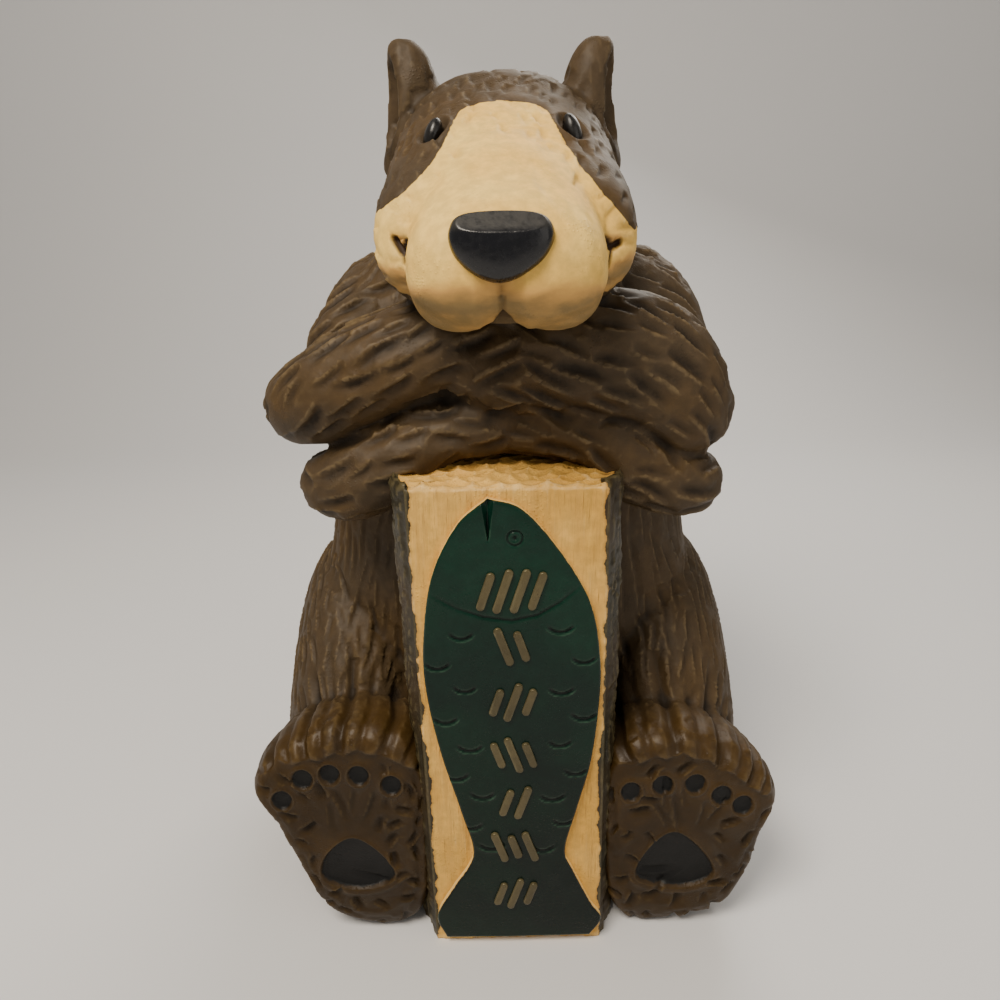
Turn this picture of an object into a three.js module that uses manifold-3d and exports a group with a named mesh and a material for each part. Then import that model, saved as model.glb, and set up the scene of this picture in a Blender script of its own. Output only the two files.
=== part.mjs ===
// A seated bear that folds its arms on top of a split-log sign post. Chainsaw-carved
// style, cast in resin and painted: the bear is one casting, the post is another.
// Millimetres, +Z up, the bear faces -Y, origin on the floor at the middle of the piece.
import * as THREE from "three";
import { mergeVertices } from "three/addons/utils/BufferGeometryUtils.js";
import Module from "manifold-3d";

const wasm = await Module();
wasm.setup();

// Driving dimensions
const BEAR_HEIGHT = 417;
const POST_WIDTH = 98;
const POST_FACE = 82;
const POST_THICKNESS = 62;
const POST_LEAN = 2.2;
const BARK_WAVE = 1.2;
const FISH_RAISE = 3.2;
const FISH_BEVEL = 0.8;
const STROKE_RAISE = 1.5;
const STROKE_WIDTH = 3.6;
const STROKE_BEVEL = 0.5;
const SCALE_CUT_DEPTH = 0.9;
const PAD_DEPTH = 1.4;
const TOE_PAD = 4.6;
const NAP_WIDTH = 8;
const NAP_DEPTH = 3;
const FIT_GAP = 0.35;

// The bear's own tables below are written for this height and scaled to BEAR_HEIGHT
const TABLE_HEIGHT = 417;
const SCALE = BEAR_HEIGHT / TABLE_HEIGHT;

// The arms rest on the post, so its height and the place of its face follow the bear
const POST_HEIGHT = 245 * SCALE;
const POST_FRONT = -100 * SCALE;
const POST_MIDDLE = POST_FRONT + POST_THICKNESS * 0.38;

const up = new THREE.Vector3(0, 0, 1);

/** A repeatable number from 0 to 1 for each whole or broken seed. */
function chance(seed) {
  const wave = Math.sin(seed * 12.9898) * 43758.5453;
  return wave - Math.floor(wave);
}

/** Sign-keeping power, which turns a circle's sine or cosine into a squarer one. */
function squared(value, power) {
  return Math.sign(value) * Math.abs(value) ** (2 / power);
}

/** A closed solid from points and triangles, turned so that its faces point out. */
function closedSolid(points, faces) {
  let volume = 0;
  const cross = new THREE.Vector3();
  for (const [a, b, c] of faces) {
    volume += points[a].dot(cross.crossVectors(points[b], points[c]));
  }
  const ordered = volume < 0 ? faces.map(([a, b, c]) => [a, c, b]) : faces;
  return new wasm.Manifold(new wasm.Mesh({
    numProp: 3,
    vertProperties: new Float32Array(points.flatMap((point) => point.toArray())),
    triVerts: new Uint32Array(ordered.flat()),
  }));
}

/** A solid from a closed three.js geometry, with its shared corners merged. */
function solidOf(geometry) {
  const plain = new THREE.BufferGeometry();
  plain.setAttribute("position", geometry.getAttribute("position"));
  plain.setIndex(geometry.getIndex());
  const merged = mergeVertices(plain, 1e-4);
  return new wasm.Manifold(new wasm.Mesh({
    numProp: 3,
    vertProperties: new Float32Array(merged.getAttribute("position").array),
    triVerts: new Uint32Array(merged.getIndex().array),
  }));
}

/** Rings joined one to the next, with a point at the middle of each end. */
function ringSolid(rings, firstPole, lastPole) {
  const sides = rings[0].length;
  const points = [...rings.flat(), firstPole, lastPole];
  const first = points.length - 2;
  const last = points.length - 1;
  const faces = [];
  for (let i = 0; i < rings.length - 1; i += 1) {
    for (let k = 0; k < sides; k += 1) {
      const next = (k + 1) % sides;
      faces.push([i * sides + k, i * sides + next, (i + 1) * sides + k]);
      faces.push([i * sides + next, (i + 1) * sides + next, (i + 1) * sides + k]);
    }
  }
  const end = (rings.length - 1) * sides;
  for (let k = 0; k < sides; k += 1) {
    const next = (k + 1) % sides;
    faces.push([next, k, first]);
    faces.push([end + k, end + next, last]);
  }
  return closedSolid(points, faces);
}

/**
 * A free form. Each station is [x, y, z, half, rise, fall] in the bear's table size: the
 * middle of a section, its half width, and how far it reaches to each side of the middle.
 * lie "level" has flat-lying sections (rise to the back), "upright" has sections across Y
 * (rise up), "across" has sections square to the line of stations (rise up).
 * blunt above 0 closes both ends round, and a higher value makes them blunter.
 */
function form({ stations, lie, power = 2.2, blunt = 0, sides = 24, rings = 12, mirror = 1 }) {
  const vectors = (from) => stations.map((row) => new THREE.Vector3(...row.slice(from, from + 3)));
  const curve = (from) => new THREE.CatmullRomCurve3(vectors(from), false, "catmullrom", 0.5);
  return { line: curve(0), girth: curve(3), lie, power, blunt, sides, rings, mirror };
}

/** The point of a form's skin at t along it and at an angle round it. */
function skinPoint(shape, t, angle) {
  const along = Math.min(1, Math.max(0, t));
  const middle = shape.line.getPoint(along);
  const girth = shape.girth.getPoint(along);
  const close = shape.blunt > 0 ? Math.sqrt(Math.max(0, 1 - Math.abs(2 * along - 1) ** shape.blunt)) : 1;
  let side = new THREE.Vector3(1, 0, 0);
  let rise = shape.lie === "level" ? new THREE.Vector3(0, 1, 0) : up.clone();
  if (shape.lie === "across") {
    const way = shape.line.getTangent(along);
    side = new THREE.Vector3().crossVectors(way, up).normalize();
    rise = new THREE.Vector3().crossVectors(side, way).normalize();
  }
  const across = squared(Math.cos(angle), shape.power) * girth.x * close;
  const lift = squared(Math.sin(angle), shape.power) * close * (Math.sin(angle) > 0 ? girth.y : girth.z);
  const point = middle.addScaledVector(side, across).addScaledVector(rise, lift);
  point.x *= shape.mirror;
  point.z = Math.max(0, point.z);
  return point.multiplyScalar(SCALE);
}

/** The share along the form of ring i, closer together near ends that close round. */
function ringPlace(shape, i) {
  const share = i / shape.rings;
  return shape.blunt > 0 ? (1 - Math.cos(Math.PI * share)) / 2 : share;
}

/** The closed solid of a form. */
function formSolid(shape) {
  const rings = [];
  const skip = shape.blunt > 0 ? 1 : 0;
  for (let i = skip; i <= shape.rings - skip; i += 1) {
    const ring = [];
    for (let k = 0; k < shape.sides; k += 1) {
      ring.push(skinPoint(shape, ringPlace(shape, i), (2 * Math.PI * k) / shape.sides));
    }
    rings.push(ring);
  }
  const pole = (t) => {
    const point = shape.line.getPoint(t);
    point.x *= shape.mirror;
    return point.multiplyScalar(SCALE);
  };
  return ringSolid(rings, pole(0), pole(1));
}

/**
 * One gouge of the carving tool, to be cut from a form: a boat with its ends on the skin,
 * deepest nearer its first end, from t and angle towards t + run and angle + turn.
 */
function gouge(shape, t, angle, run, turn, width, depth) {
  const first = skinPoint(shape, t, angle);
  const last = skinPoint(shape, t + run, angle + turn);
  const belly = skinPoint(shape, t + run * 0.42, angle + turn * 0.42);
  const step = 0.01;
  const alongSkin = skinPoint(shape, t + run * 0.42 + step, angle + turn * 0.42).sub(belly);
  const roundSkin = skinPoint(shape, t + run * 0.42, angle + turn * 0.42 + step).sub(belly);
  const outward = new THREE.Vector3().crossVectors(roundSkin, alongSkin).normalize();
  const heart = shape.line.getPoint(Math.min(1, Math.max(0, t + run * 0.42)));
  heart.x *= shape.mirror;
  heart.multiplyScalar(SCALE);
  if (outward.dot(belly.clone().sub(heart)) < 0) outward.negate();
  const sideways = new THREE.Vector3().crossVectors(outward, last.clone().sub(first)).normalize();
  const lift = depth * 0.6;
  const points = [
    first.addScaledVector(outward, 0.2),
    last.addScaledVector(outward, 0.2),
    belly.clone().addScaledVector(outward, -depth),
    belly.clone().addScaledVector(outward, lift).addScaledVector(sideways, width / 2),
    belly.clone().addScaledVector(outward, lift * 2.5),
    belly.clone().addScaledVector(outward, lift).addScaledVector(sideways, -width / 2),
  ];
  const faces = [[0, 2, 3], [0, 3, 4], [0, 4, 5], [0, 5, 2], [1, 3, 2], [1, 4, 3], [1, 5, 4], [1, 2, 5]];
  return closedSolid(points, faces);
}

/** Rows of staggered gouges over part of a form, from t0 to t1 and from angle a0 to a1. */
function nap(shape, area) {
  const { t0, t1, a0, a1, rows, columns, run, turn = 0, width = NAP_WIDTH, depth = NAP_DEPTH } = area;
  const cuts = [];
  for (let row = 0; row < rows; row += 1) {
    for (let column = 0; column < columns; column += 1) {
      const seed = row * 31 + column * 7 + rows * 3 + shape.mirror;
      const drift = (chance(seed) - 0.5) * 0.5;
      const t = t0 + ((t1 - t0) * (row + 0.5 * (column % 2) + drift)) / rows;
      const angle = a0 + ((a1 - a0) * (column + 0.5 + drift * 0.6)) / columns;
      const long = run * (0.75 + 0.5 * chance(seed + 0.3));
      const swing = turn * (0.6 + 0.8 * chance(seed + 0.7));
      cuts.push(gouge(shape, t, angle, long, swing, width * SCALE, depth * SCALE));
    }
  }
  return cuts;
}

/** A closed smooth outline in the XZ plane through a few chosen corners. */
function outline(corners, count) {
  const points = corners.map(([x, z]) => new THREE.Vector3(x, 0, z));
  return new THREE.CatmullRomCurve3(points, true, "catmullrom", 0.5).getPoints(count).slice(0, count);
}

/** An outline carried along Y and shrunk about its own middle: steps are [y, share]. */
function boss(corners, middle, steps, count) {
  const [middleX, middleZ] = middle;
  const edge = outline(corners, count);
  const place = (point, y, share) => new THREE.Vector3(
    middleX + (point.x - middleX) * share,
    y,
    Math.max(0, middleZ + (point.z - middleZ) * share),
  ).multiplyScalar(SCALE);
  const rings = steps.map(([y, share]) => edge.map((point) => place(point, y, share)));
  const pole = (y) => new THREE.Vector3(middleX, y, middleZ).multiplyScalar(SCALE);
  return ringSolid(rings, pole(steps[0][0]), pole(steps[steps.length - 1][0]));
}

/** A flat outline in the XZ plane raised towards -Y, from y back to y front. */
function plate(points, back, front, bevel) {
  const shape = new THREE.Shape(points.map((point) => new THREE.Vector2(point.x, point.z)));
  const geometry = new THREE.ExtrudeGeometry(shape, {
    depth: back - front - bevel,
    bevelEnabled: bevel > 0,
    bevelThickness: bevel,
    bevelSize: bevel,
    bevelOffset: -bevel,
    bevelSegments: 1,
    curveSegments: 6,
  });
  geometry.rotateX(Math.PI / 2);
  geometry.translate(0, back, 0);
  return solidOf(geometry);
}

// Torso: a pear, flat below, with the nape running into the back of the head
const torso = form({
  lie: "level",
  power: 2.3,
  sides: 22,
  rings: 11,
  stations: [
    [0, 0, 0, 100, 104, 40],
    [0, 0, 10, 108, 116, 44],
    [0, 0, 45, 113, 128, 48],
    [0, 0, 85, 114, 131, 48],
    [0, 0, 122, 110, 126, 48],
    [0, 0, 156, 102, 116, 48],
    [0, 0, 187, 94, 104, 47],
    [0, 0, 220, 90, 93, 46],
    [0, 0, 255, 89, 85, 45],
    [0, 0, 284, 86, 79, 42],
    [0, 0, 304, 80, 72, 36],
    [0, 0, 320, 70, 64, 28],
    [0, 0, 335, 54, 52, 20],
    [0, 0, 346, 34, 38, 10],
  ],
});

// Head: skull and cheeks, from the nape forwards
const head = form({
  lie: "upright",
  power: 2.35,
  sides: 20,
  rings: 9,
  stations: [
    [0, 56, 350, 10, 10, 10],
    [0, 50, 350, 25, 27, 25],
    [0, 36, 350, 38, 40, 38],
    [0, 12, 350, 47, 50, 47],
    [0, -16, 350, 49, 53, 50],
    [0, -38, 346, 49.5, 47, 47],
    [0, -58, 340, 50, 42, 38],
    [0, -76, 336, 50.5, 35, 30],
    [0, -89, 334, 47, 28, 23],
    [0, -97, 334, 36, 20, 16],
  ],
});

// Muzzle: the long painted snout, two lobes wide
const muzzle = form({
  lie: "upright",
  power: 2.3,
  sides: 18,
  rings: 7,
  stations: [
    [0, -44, 345, 26, 40, 34],
    [0, -66, 338, 32, 39, 31],
    [0, -86, 333, 35, 35, 27],
    [0, -102, 327, 36, 31, 21],
    [0, -114, 325, 34, 26, 18],
    [0, -122, 326, 28, 19, 15],
    [0, -127, 328, 17, 11, 10],
  ],
});

/** One of the two lobes below the nose. */
function lobe(mirror) {
  return form({
    lie: "upright",
    blunt: 2.4,
    sides: 10,
    rings: 6,
    mirror,
    stations: [
      [17, -84, 322, 18, 18, 17],
      [17, -104, 323, 18, 18, 18],
      [16, -124, 325, 15, 15, 15],
    ],
  });
}

/** An upright ear, whose cup opens outwards and a little forwards. */
function ear(mirror) {
  const shell = form({
    lie: "level",
    power: 2.2,
    sides: 12,
    rings: 6,
    mirror,
    stations: [
      [38, -4, 362, 16, 16, 15],
      [39.5, -4, 378, 14, 15, 14],
      [39.5, -4, 394, 12.5, 13.5, 12.5],
      [40, -4, 405, 10.5, 11.5, 11],
      [41.5, -4, 412.5, 8, 8.5, 8.5],
      [43, -4, 417, 4.5, 4.5, 4.5],
    ],
  });
  const cup = form({
    lie: "level",
    blunt: 2.6,
    sides: 10,
    rings: 6,
    mirror,
    stations: [
      [56, -10, 370, 11, 10.5, 9],
      [56, -9, 392, 14, 10, 8.5],
      [53, -8, 414, 8, 6.5, 6],
    ],
  });
  return formSolid(shell).subtract(formSolid(cup));
}

const upperArms = [
  form({
    lie: "across",
    blunt: 4,
    sides: 14,
    rings: 6,
    mirror: -1,
    stations: [
      [44, 38, 306, 28, 32, 32],
      [56, 10, 297, 29, 32, 32],
      [70, -16, 281, 24, 28, 28],
      [84, -42, 265, 19, 21, 20],
    ],
  }),
  form({
    lie: "across",
    blunt: 4,
    sides: 14,
    rings: 6,
    stations: [
      [46, 38, 306, 28, 32, 32],
      [60, 10, 297, 31, 33, 33],
      [70, -14, 280, 27, 31, 31],
      [78, -40, 258, 20, 24, 22],
    ],
  }),
];

const forearms = [
  form({
    lie: "across",
    blunt: 5,
    sides: 14,
    rings: 9,
    mirror: -1,
    stations: [
      [104, -44, 259, 18, 17, 15],
      [83, -53, 270, 26, 20, 20],
      [58, -58, 284, 26, 21, 21],
      [28, -58, 294, 26, 20, 20],
      [-4, -54, 297, 24, 18, 18],
    ],
  }),
  form({
    lie: "across",
    blunt: 5,
    sides: 14,
    rings: 9,
    stations: [
      [90, -42, 252, 20, 18, 16],
      [75, -54, 263, 28, 26, 24],
      [56, -58, 282, 27, 31, 29],
      [24, -60, 288, 26, 27, 27],
      [-8, -60, 287, 25, 24, 24],
      [-38, -54, 284, 18, 16, 16],
    ],
  }),
];

const paws = [
  form({
    lie: "across",
    blunt: 5,
    sides: 12,
    rings: 9,
    mirror: -1,
    stations: [
      [-34, -54, 258, 22, 16, 14],
      [24, -57, 256, 24, 18, 13],
      [54, -60, 243, 23, 20, 19],
      [74, -59, 234, 21, 18, 18],
      [92, -52, 237, 15, 13, 13],
    ],
  }),
  form({
    lie: "across",
    blunt: 5,
    sides: 12,
    rings: 9,
    stations: [
      [-34, -54, 258, 22, 16, 14],
      [24, -57, 256, 24, 18, 13],
      [56, -60, 241, 23, 19, 18],
      [77, -59, 232, 21, 16, 16],
      [95, -52, 235, 15, 13, 13],
    ],
  }),
];

/** A haunch: the thick thigh that runs forward from the hip to the foot. */
function haunch(mirror) {
  return form({
    lie: "upright",
    power: 2.05,
    blunt: 5,
    sides: 16,
    rings: 8,
    mirror,
    stations: [
      [80, 84, 60, 34, 70, 70],
      [85, 48, 60, 40, 98, 70],
      [86, 10, 60, 41, 120, 70],
      [84, -22, 58, 41, 108, 68],
      [82, -50, 58, 39, 84, 66],
      [80, -84, 56, 34, 50, 60],
    ],
  });
}

// Feet: the soles face forwards, toes up. Front outlines, then how they close fore and aft
const FOOT_OUTLINES = [
  [[-41, 60], [-41, 98], [-52, 119], [-81, 125], [-109, 113], [-125, 92], [-117, 72], [-108, 45],
    [-97, 16], [-78, 3], [-55, 3], [-44, 22]],
  [[43, 60], [43, 94], [54, 113], [81, 118], [110, 104], [127, 82], [122, 58], [117, 33],
    [106, 11], [84, 2], [58, 2], [46, 22]],
];
const FOOT_MIDDLES = [[-80, 58], [82, 55]];
const FOOT_STEPS = [
  [-36, 0.66],
  [-54, 0.9],
  [-72, 1],
  [-86, 1],
  [-92, 0.965],
  [-96, 0.9],
  [-98, 0.8],
];
const SOLE_Y = -98;

// Toe pads from the outer toe to the inner one, then the three corners of the big pad
const TOE_PADS = [
  [[-111, 84], [-98, 97], [-86, 100], [-74, 98], [-58, 92]],
  [[111, 78], [100, 84], [87, 89], [71, 88], [56, 85]],
];
const BIG_PADS = [
  [[-97, 32], [-94, 47], [-82, 58], [-69, 49], [-63, 33], [-80, 27]],
  [[64, 32], [68, 48], [83, 58], [98, 44], [101, 29], [82, 24]],
];

/** A foot with toe grooves over its hood and sunk pads on its sole. */
function foot(index) {
  const mirror = index === 0 ? -1 : 1;
  let block = boss(FOOT_OUTLINES[index], FOOT_MIDDLES[index], FOOT_STEPS, 24);
  const pads = TOE_PADS[index];
  for (let k = 0; k < pads.length - 1; k += 1) {
    block = block.subtract(toeGroove(pads[k], pads[k + 1], FOOT_MIDDLES[index]));
  }
  const sunk = (corners, count) => plate(
    outline(corners, count).map((point) => point.multiplyScalar(SCALE)),
    SOLE_Y * SCALE + PAD_DEPTH,
    SOLE_Y * SCALE - PAD_DEPTH,
    0,
  );
  for (const [x, z] of pads) {
    const ring = [0, 1, 2, 3, 4, 5].map((k) => {
      const angle = (Math.PI * k) / 3 + 0.3 * mirror;
      return [x + TOE_PAD * Math.cos(angle), z + 1.15 * TOE_PAD * Math.sin(angle)];
    });
    block = block.subtract(sunk(ring, 8));
  }
  return block.subtract(sunk(BIG_PADS[index], 14));
}

/** The groove between two toes: from just above their pads, up and back over the hood. */
function toeGroove(padA, padB, middle) {
  const x = (padA[0] + padB[0]) / 2;
  const z = (padA[1] + padB[1]) / 2;
  const away = new THREE.Vector2(x - middle[0], z - middle[1]).normalize();
  const top = new THREE.Vector3(x + away.x * 24, -80, z + away.y * 24);
  const low = new THREE.Vector3(x + away.x * 3, -99, z + away.y * 3);
  const far = new THREE.Vector3(x + away.x * 27, -52, z + away.y * 27);
  const side = new THREE.Vector3(away.y, 0, -away.x).multiplyScalar(5);
  const lift = new THREE.Vector3(away.x, -1, away.y).normalize();
  const points = [
    low,
    far.addScaledVector(lift, 3),
    top.clone().addScaledVector(lift, -6),
    top.clone().addScaledVector(lift, 9).add(side),
    top.clone().addScaledVector(lift, 16),
    top.clone().addScaledVector(lift, 9).sub(side),
  ].map((point) => point.multiplyScalar(SCALE));
  const faces = [[0, 2, 3], [0, 3, 4], [0, 4, 5], [0, 5, 2], [1, 3, 2], [1, 4, 3], [1, 5, 4], [1, 2, 5]];
  return closedSolid(points, faces);
}

// Nose: a rounded triangle, point down, with a flat upper bevel
const NOSE_OUTLINE = [[-12, 346], [8, 346], [14, 341], [11, 333], [-2, 325], [-15, 333], [-18, 341]];
const NOSE_MIDDLE = [-2, 337];
const NOSE_STEPS = [
  [-108, 0.85],
  [-122, 1],
  [-127, 0.97],
  [-130, 0.82],
  [-131.5, 0.55],
];

/** An eye: a glossy bead half sunk under its brow. */
function eye(mirror) {
  const x = mirror < 0 ? 27.5 : 26;
  return form({
    lie: "level",
    blunt: 2,
    sides: 8,
    rings: 5,
    mirror,
    stations: [
      [x + 1.5, -57, 370, 5, 6, 6],
      [x, -54, 378, 5, 6, 6],
      [x - 1.5, -50, 386, 5, 6, 6],
    ],
  });
}

/** The notch of a smiling mouth's corner. */
function mouthCorner(mirror) {
  const points = [
    new THREE.Vector3(47.5, -90, 336.5),
    new THREE.Vector3(41, -95, 337.5),
    new THREE.Vector3(44.5, -91, 327),
    new THREE.Vector3(43, -88, 334),
    new THREE.Vector3(47, -97, 333.5),
  ].map((point) => new THREE.Vector3(point.x * mirror, point.y, point.z).multiplyScalar(SCALE));
  return closedSolid(points, [[0, 1, 3], [0, 4, 1], [1, 2, 3], [1, 4, 2], [0, 3, 2], [0, 2, 4]]);
}

const tail = form({
  lie: "upright",
  blunt: 3,
  sides: 10,
  rings: 5,
  stations: [
    [0, 112, 64, 15, 14, 14],
    [0, 125, 60, 17, 15, 17],
    [0, 136, 54, 14, 12, 14],
  ],
});

/** The post's section at height z: a log split flat in front and round behind. */
function postRing(z, count, grow) {
  const share = z / POST_HEIGHT;
  const lean = POST_LEAN * (0.5 - share);
  const frontHalf = POST_FACE / 2;
  const widest = POST_WIDTH / 2;
  const backDepth = POST_FRONT + POST_THICKNESS - POST_MIDDLE;
  const frontDepth = POST_MIDDLE - POST_FRONT;
  const ring = [];
  for (let k = 0; k < count; k += 1) {
    const angle = (Math.PI * k) / (count - 1);
    const wave = BARK_WAVE * (Math.sin(angle * 7 + z * 0.05) + Math.sin(angle * 4 - z * 0.11)) * 0.5;
    const out = widest + wave + grow;
    ring.push(new THREE.Vector3(
      out * Math.cos(angle) + lean,
      POST_MIDDLE + (backDepth + wave + grow) * Math.sin(angle),
      z,
    ));
  }
  const bulge = [0.45, 0.8, 1];
  const corner = (share2, sign, wave) => new THREE.Vector3(
    sign * (widest + (frontHalf - widest) * share2 ** 2 + grow + wave) + lean,
    POST_MIDDLE - frontDepth * share2 - grow * share2,
    z,
  );
  const left = bulge.map((b, k) => corner(b, -1, k < 2 ? BARK_WAVE * Math.sin(z * 0.13 + k * 2) * 0.6 : 0));
  const right = bulge.map((b, k) => corner(b, 1, k < 2 ? BARK_WAVE * Math.sin(z * 0.1 + k * 3) * 0.6 : 0));
  return [...ring, ...left, ...right.reverse()];
}

/** The post's log, or with grow above 0 the room that the bear leaves for it. */
function logSolid(grow) {
  const levels = 8;
  const rings = [];
  for (let i = 0; i <= levels; i += 1) {
    const z = (POST_HEIGHT * i) / levels;
    rings.push(postRing(z, 13, grow));
  }
  if (grow > 0) {
    rings.forEach((ring, i) => ring.forEach((point) => {
      if (i === 0) point.z -= 5;
      if (i === levels) point.z += grow;
    }));
  }
  const middle = (z) => new THREE.Vector3(0, POST_MIDDLE, z);
  return ringSolid(rings, middle(rings[0][0].z), middle(rings[levels][0].z));
}

// The fish stands on its tail. Half widths go by height, as shares of the post's height
const FISH_SIDES = [
  [-0.143, 0.016],
  [-0.159, 0.075],
  [-0.122, 0.151],
  [-0.082, 0.233],
  [-0.102, 0.339],
  [-0.135, 0.478],
  [-0.155, 0.612],
  [-0.155, 0.714],
  [-0.135, 0.837],
  [-0.09, 0.93],
  [-0.037, 0.978],
  [0.02, 0.957],
  [0.082, 0.882],
  [0.135, 0.784],
  [0.155, 0.673],
  [0.155, 0.571],
  [0.143, 0.449],
  [0.12, 0.345],
  [0.098, 0.241],
  [0.116, 0.184],
  [0.151, 0.102],
  [0.173, 0.06],
  [0.151, 0.016],
];

/** The raised fish. */
function fish() {
  const points = FISH_SIDES.map(([x, z]) => new THREE.Vector3(x * POST_HEIGHT, 0, z * POST_HEIGHT));
  const side = new THREE.CatmullRomCurve3(points, false, "catmullrom", 0.5).getPoints(34);
  return plate(side, POST_FRONT + 2, POST_FRONT - FISH_RAISE, FISH_BEVEL);
}

/** A short round-ended stroke raised on the fish. */
function stroke(x, z, length, tilt) {
  const half = Math.max(0.1, (length - STROKE_WIDTH) / 2);
  const shape = [];
  for (let k = 0; k < 6; k += 1) {
    const angle = -Math.PI / 2 + (Math.PI * k) / 2 - (k > 2 ? Math.PI / 2 : 0);
    const end = k > 2 ? -half : half;
    const along = end + (STROKE_WIDTH / 2) * Math.cos(angle);
    const across = (STROKE_WIDTH / 2) * Math.sin(angle);
    shape.push(new THREE.Vector3(
      x + along * Math.cos(tilt) - across * Math.sin(tilt),
      0,
      z + along * Math.sin(tilt) + across * Math.cos(tilt),
    ));
  }
  const face = POST_FRONT - FISH_RAISE;
  return plate(shape, face + 1, face - STROKE_RAISE, STROKE_BEVEL);
}

// Groups of leaning strokes down the fish: the middle height as a share of the post's
// height, the lean in radians, and each stroke's x and length in shares of GROUP_HEIGHT
const GROUP_HEIGHT = 20;
const LEAN = 1.25;
const GROUPS = [
  { at: 0.812, lean: LEAN, strokes: [[-0.54, 0.9], [-0.18, 1.05], [0.18, 1.05], [0.54, 0.9]] },
  { at: 0.705, lean: -LEAN, strokes: [[-0.18, 0.95], [0.2, 0.75]] },
  { at: 0.59, lean: LEAN, strokes: [[-0.36, 0.7], [0, 1], [0.36, 0.7]] },
  { at: 0.475, lean: -LEAN, strokes: [[-0.36, 0.7], [0, 1], [0.36, 0.7]] },
  { at: 0.365, lean: LEAN, strokes: [[-0.18, 0.75], [0.2, 0.95]] },
  { at: 0.258, lean: -LEAN, strokes: [[-0.36, 0.9], [0, 0.7], [0.36, 0.9]] },
  { at: 0.138, lean: LEAN, strokes: [[-0.36, 0.7], [0, 0.95], [0.36, 0.7]] },
];

/** A crescent cut of the fish's scales, as a shallow wedge. */
function scaleCut(x, z, size) {
  const face = POST_FRONT - FISH_RAISE;
  const points = [
    new THREE.Vector3(x - size, face - 0.1, z + size * 0.5),
    new THREE.Vector3(x + size, face - 0.1, z + size * 0.5),
    new THREE.Vector3(x, face - 0.1, z - size * 0.4),
    new THREE.Vector3(x, face + SCALE_CUT_DEPTH, z + size * 0.05),
    new THREE.Vector3(x, face - 0.1, z + size * 0.15),
  ];
  const faces = [[0, 2, 3], [2, 1, 3], [1, 4, 3], [4, 0, 3], [0, 4, 2], [4, 1, 2]];
  return closedSolid(points, faces);
}

/** Everything on the sign post, as one solid. */
function signPost() {
  let post = logSolid(0).add(fish());
  for (const group of GROUPS) {
    for (const [x, length] of group.strokes) {
      const height = group.at * POST_HEIGHT;
      post = post.add(stroke(x * GROUP_HEIGHT, height, length * GROUP_HEIGHT, group.lean));
    }
  }
  for (let row = 0; row < 7; row += 1) {
    const reach = 0.135 - 0.006 * Math.abs(row - 1);
    for (const side of [-1, 1]) {
      const x = side * (reach - 0.03 * (row % 2)) * POST_HEIGHT;
      post = post.subtract(scaleCut(x, (0.73 - 0.052 * row) * POST_HEIGHT, 4));
    }
  }
  return post;
}

/** A form's solid with its own gouges cut from it. */
function carved(shape, ...naps) {
  const cuts = naps.flatMap((area) => nap(shape, area));
  return cuts.reduce((body, cut) => body.subtract(cut), formSolid(shape));
}

const BACK_NAP = { t0: 0.88, t1: 0.3, a0: 0.25, a1: 2.9, rows: 4, columns: 6, run: -0.15, width: 12 };
const CROWN_NAP = { t0: 0.42, t1: 0.1, a0: 0.7, a1: 2.45, rows: 3, columns: 4, run: -0.12 };
const ARM_TOP_NAP = { t0: 0.1, t1: 0.66, a0: 0.5, a1: 2.9, rows: 3, columns: 4, run: 0.2, turn: 0.12 };
const ARM_FRONT_NAP = { t0: 0.1, t1: 0.46, a0: 2.9, a1: 4.1, rows: 2, columns: 3, run: 0.2 };
const PAW_NAP = { t0: 0.55, t1: 0.86, a0: 1.3, a1: 3.9, rows: 2, columns: 3, run: 0.2 };
const THIGH_NAP = { t0: 0.22, t1: 0.8, a0: 0.1, a1: 1.9, rows: 3, columns: 4, run: 0.05, turn: -0.45 };
const LIP_GROOVE = [0.97, -Math.PI / 2, -0.4, 0, 5, 5];

/** The muzzle with its two lobes and the groove between them. */
function snout() {
  const whole = formSolid(muzzle).add(formSolid(lobe(-1))).add(formSolid(lobe(1)));
  return whole.subtract(gouge(muzzle, ...LIP_GROOVE));
}

/** Everything on the bear, as one solid, with the post's room left free. */
function bear() {
  const solids = [
    carved(head, CROWN_NAP),
    snout(),
    ...upperArms.map((arm) => formSolid(arm)),
    ...forearms.map((arm) => carved(arm, ARM_TOP_NAP, ARM_FRONT_NAP)),
    ...paws.map((paw) => carved(paw, PAW_NAP)),
    formSolid(tail),
    foot(0),
    foot(1),
  ];
  for (const mirror of [-1, 1]) {
    solids.push(carved(haunch(mirror), THIGH_NAP), ear(mirror), formSolid(eye(mirror)));
  }
  let body = solids.reduce((whole, solid) => whole.add(solid), carved(torso, BACK_NAP));
  body = body.subtract(mouthCorner(-1)).subtract(mouthCorner(1));
  body = body.add(boss(NOSE_OUTLINE, NOSE_MIDDLE, NOSE_STEPS, 18));
  return body.subtract(logSolid(FIT_GAP));
}

/** A named mesh from a solid. */
function piece(name, source, material) {
  const { vertProperties, triVerts } = source.getMesh();
  const geometry = new THREE.BufferGeometry();
  geometry.setAttribute("position", new THREE.BufferAttribute(new Float32Array(vertProperties), 3));
  geometry.setIndex(new THREE.BufferAttribute(new Uint32Array(triVerts), 1));
  geometry.computeVertexNormals();
  const mesh = new THREE.Mesh(geometry, material);
  mesh.name = name;
  return mesh;
}

const brownPaint = new THREE.MeshStandardMaterial({ color: 0x5c4834, roughness: 0.48, metalness: 0 });
const postPaint = new THREE.MeshStandardMaterial({ color: 0xcda56a, roughness: 0.62, metalness: 0 });

const figure = new THREE.Group();
figure.add(piece("bear", bear(), brownPaint));
figure.add(piece("sign_post", signPost(), postPaint));

export default figure;
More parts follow.
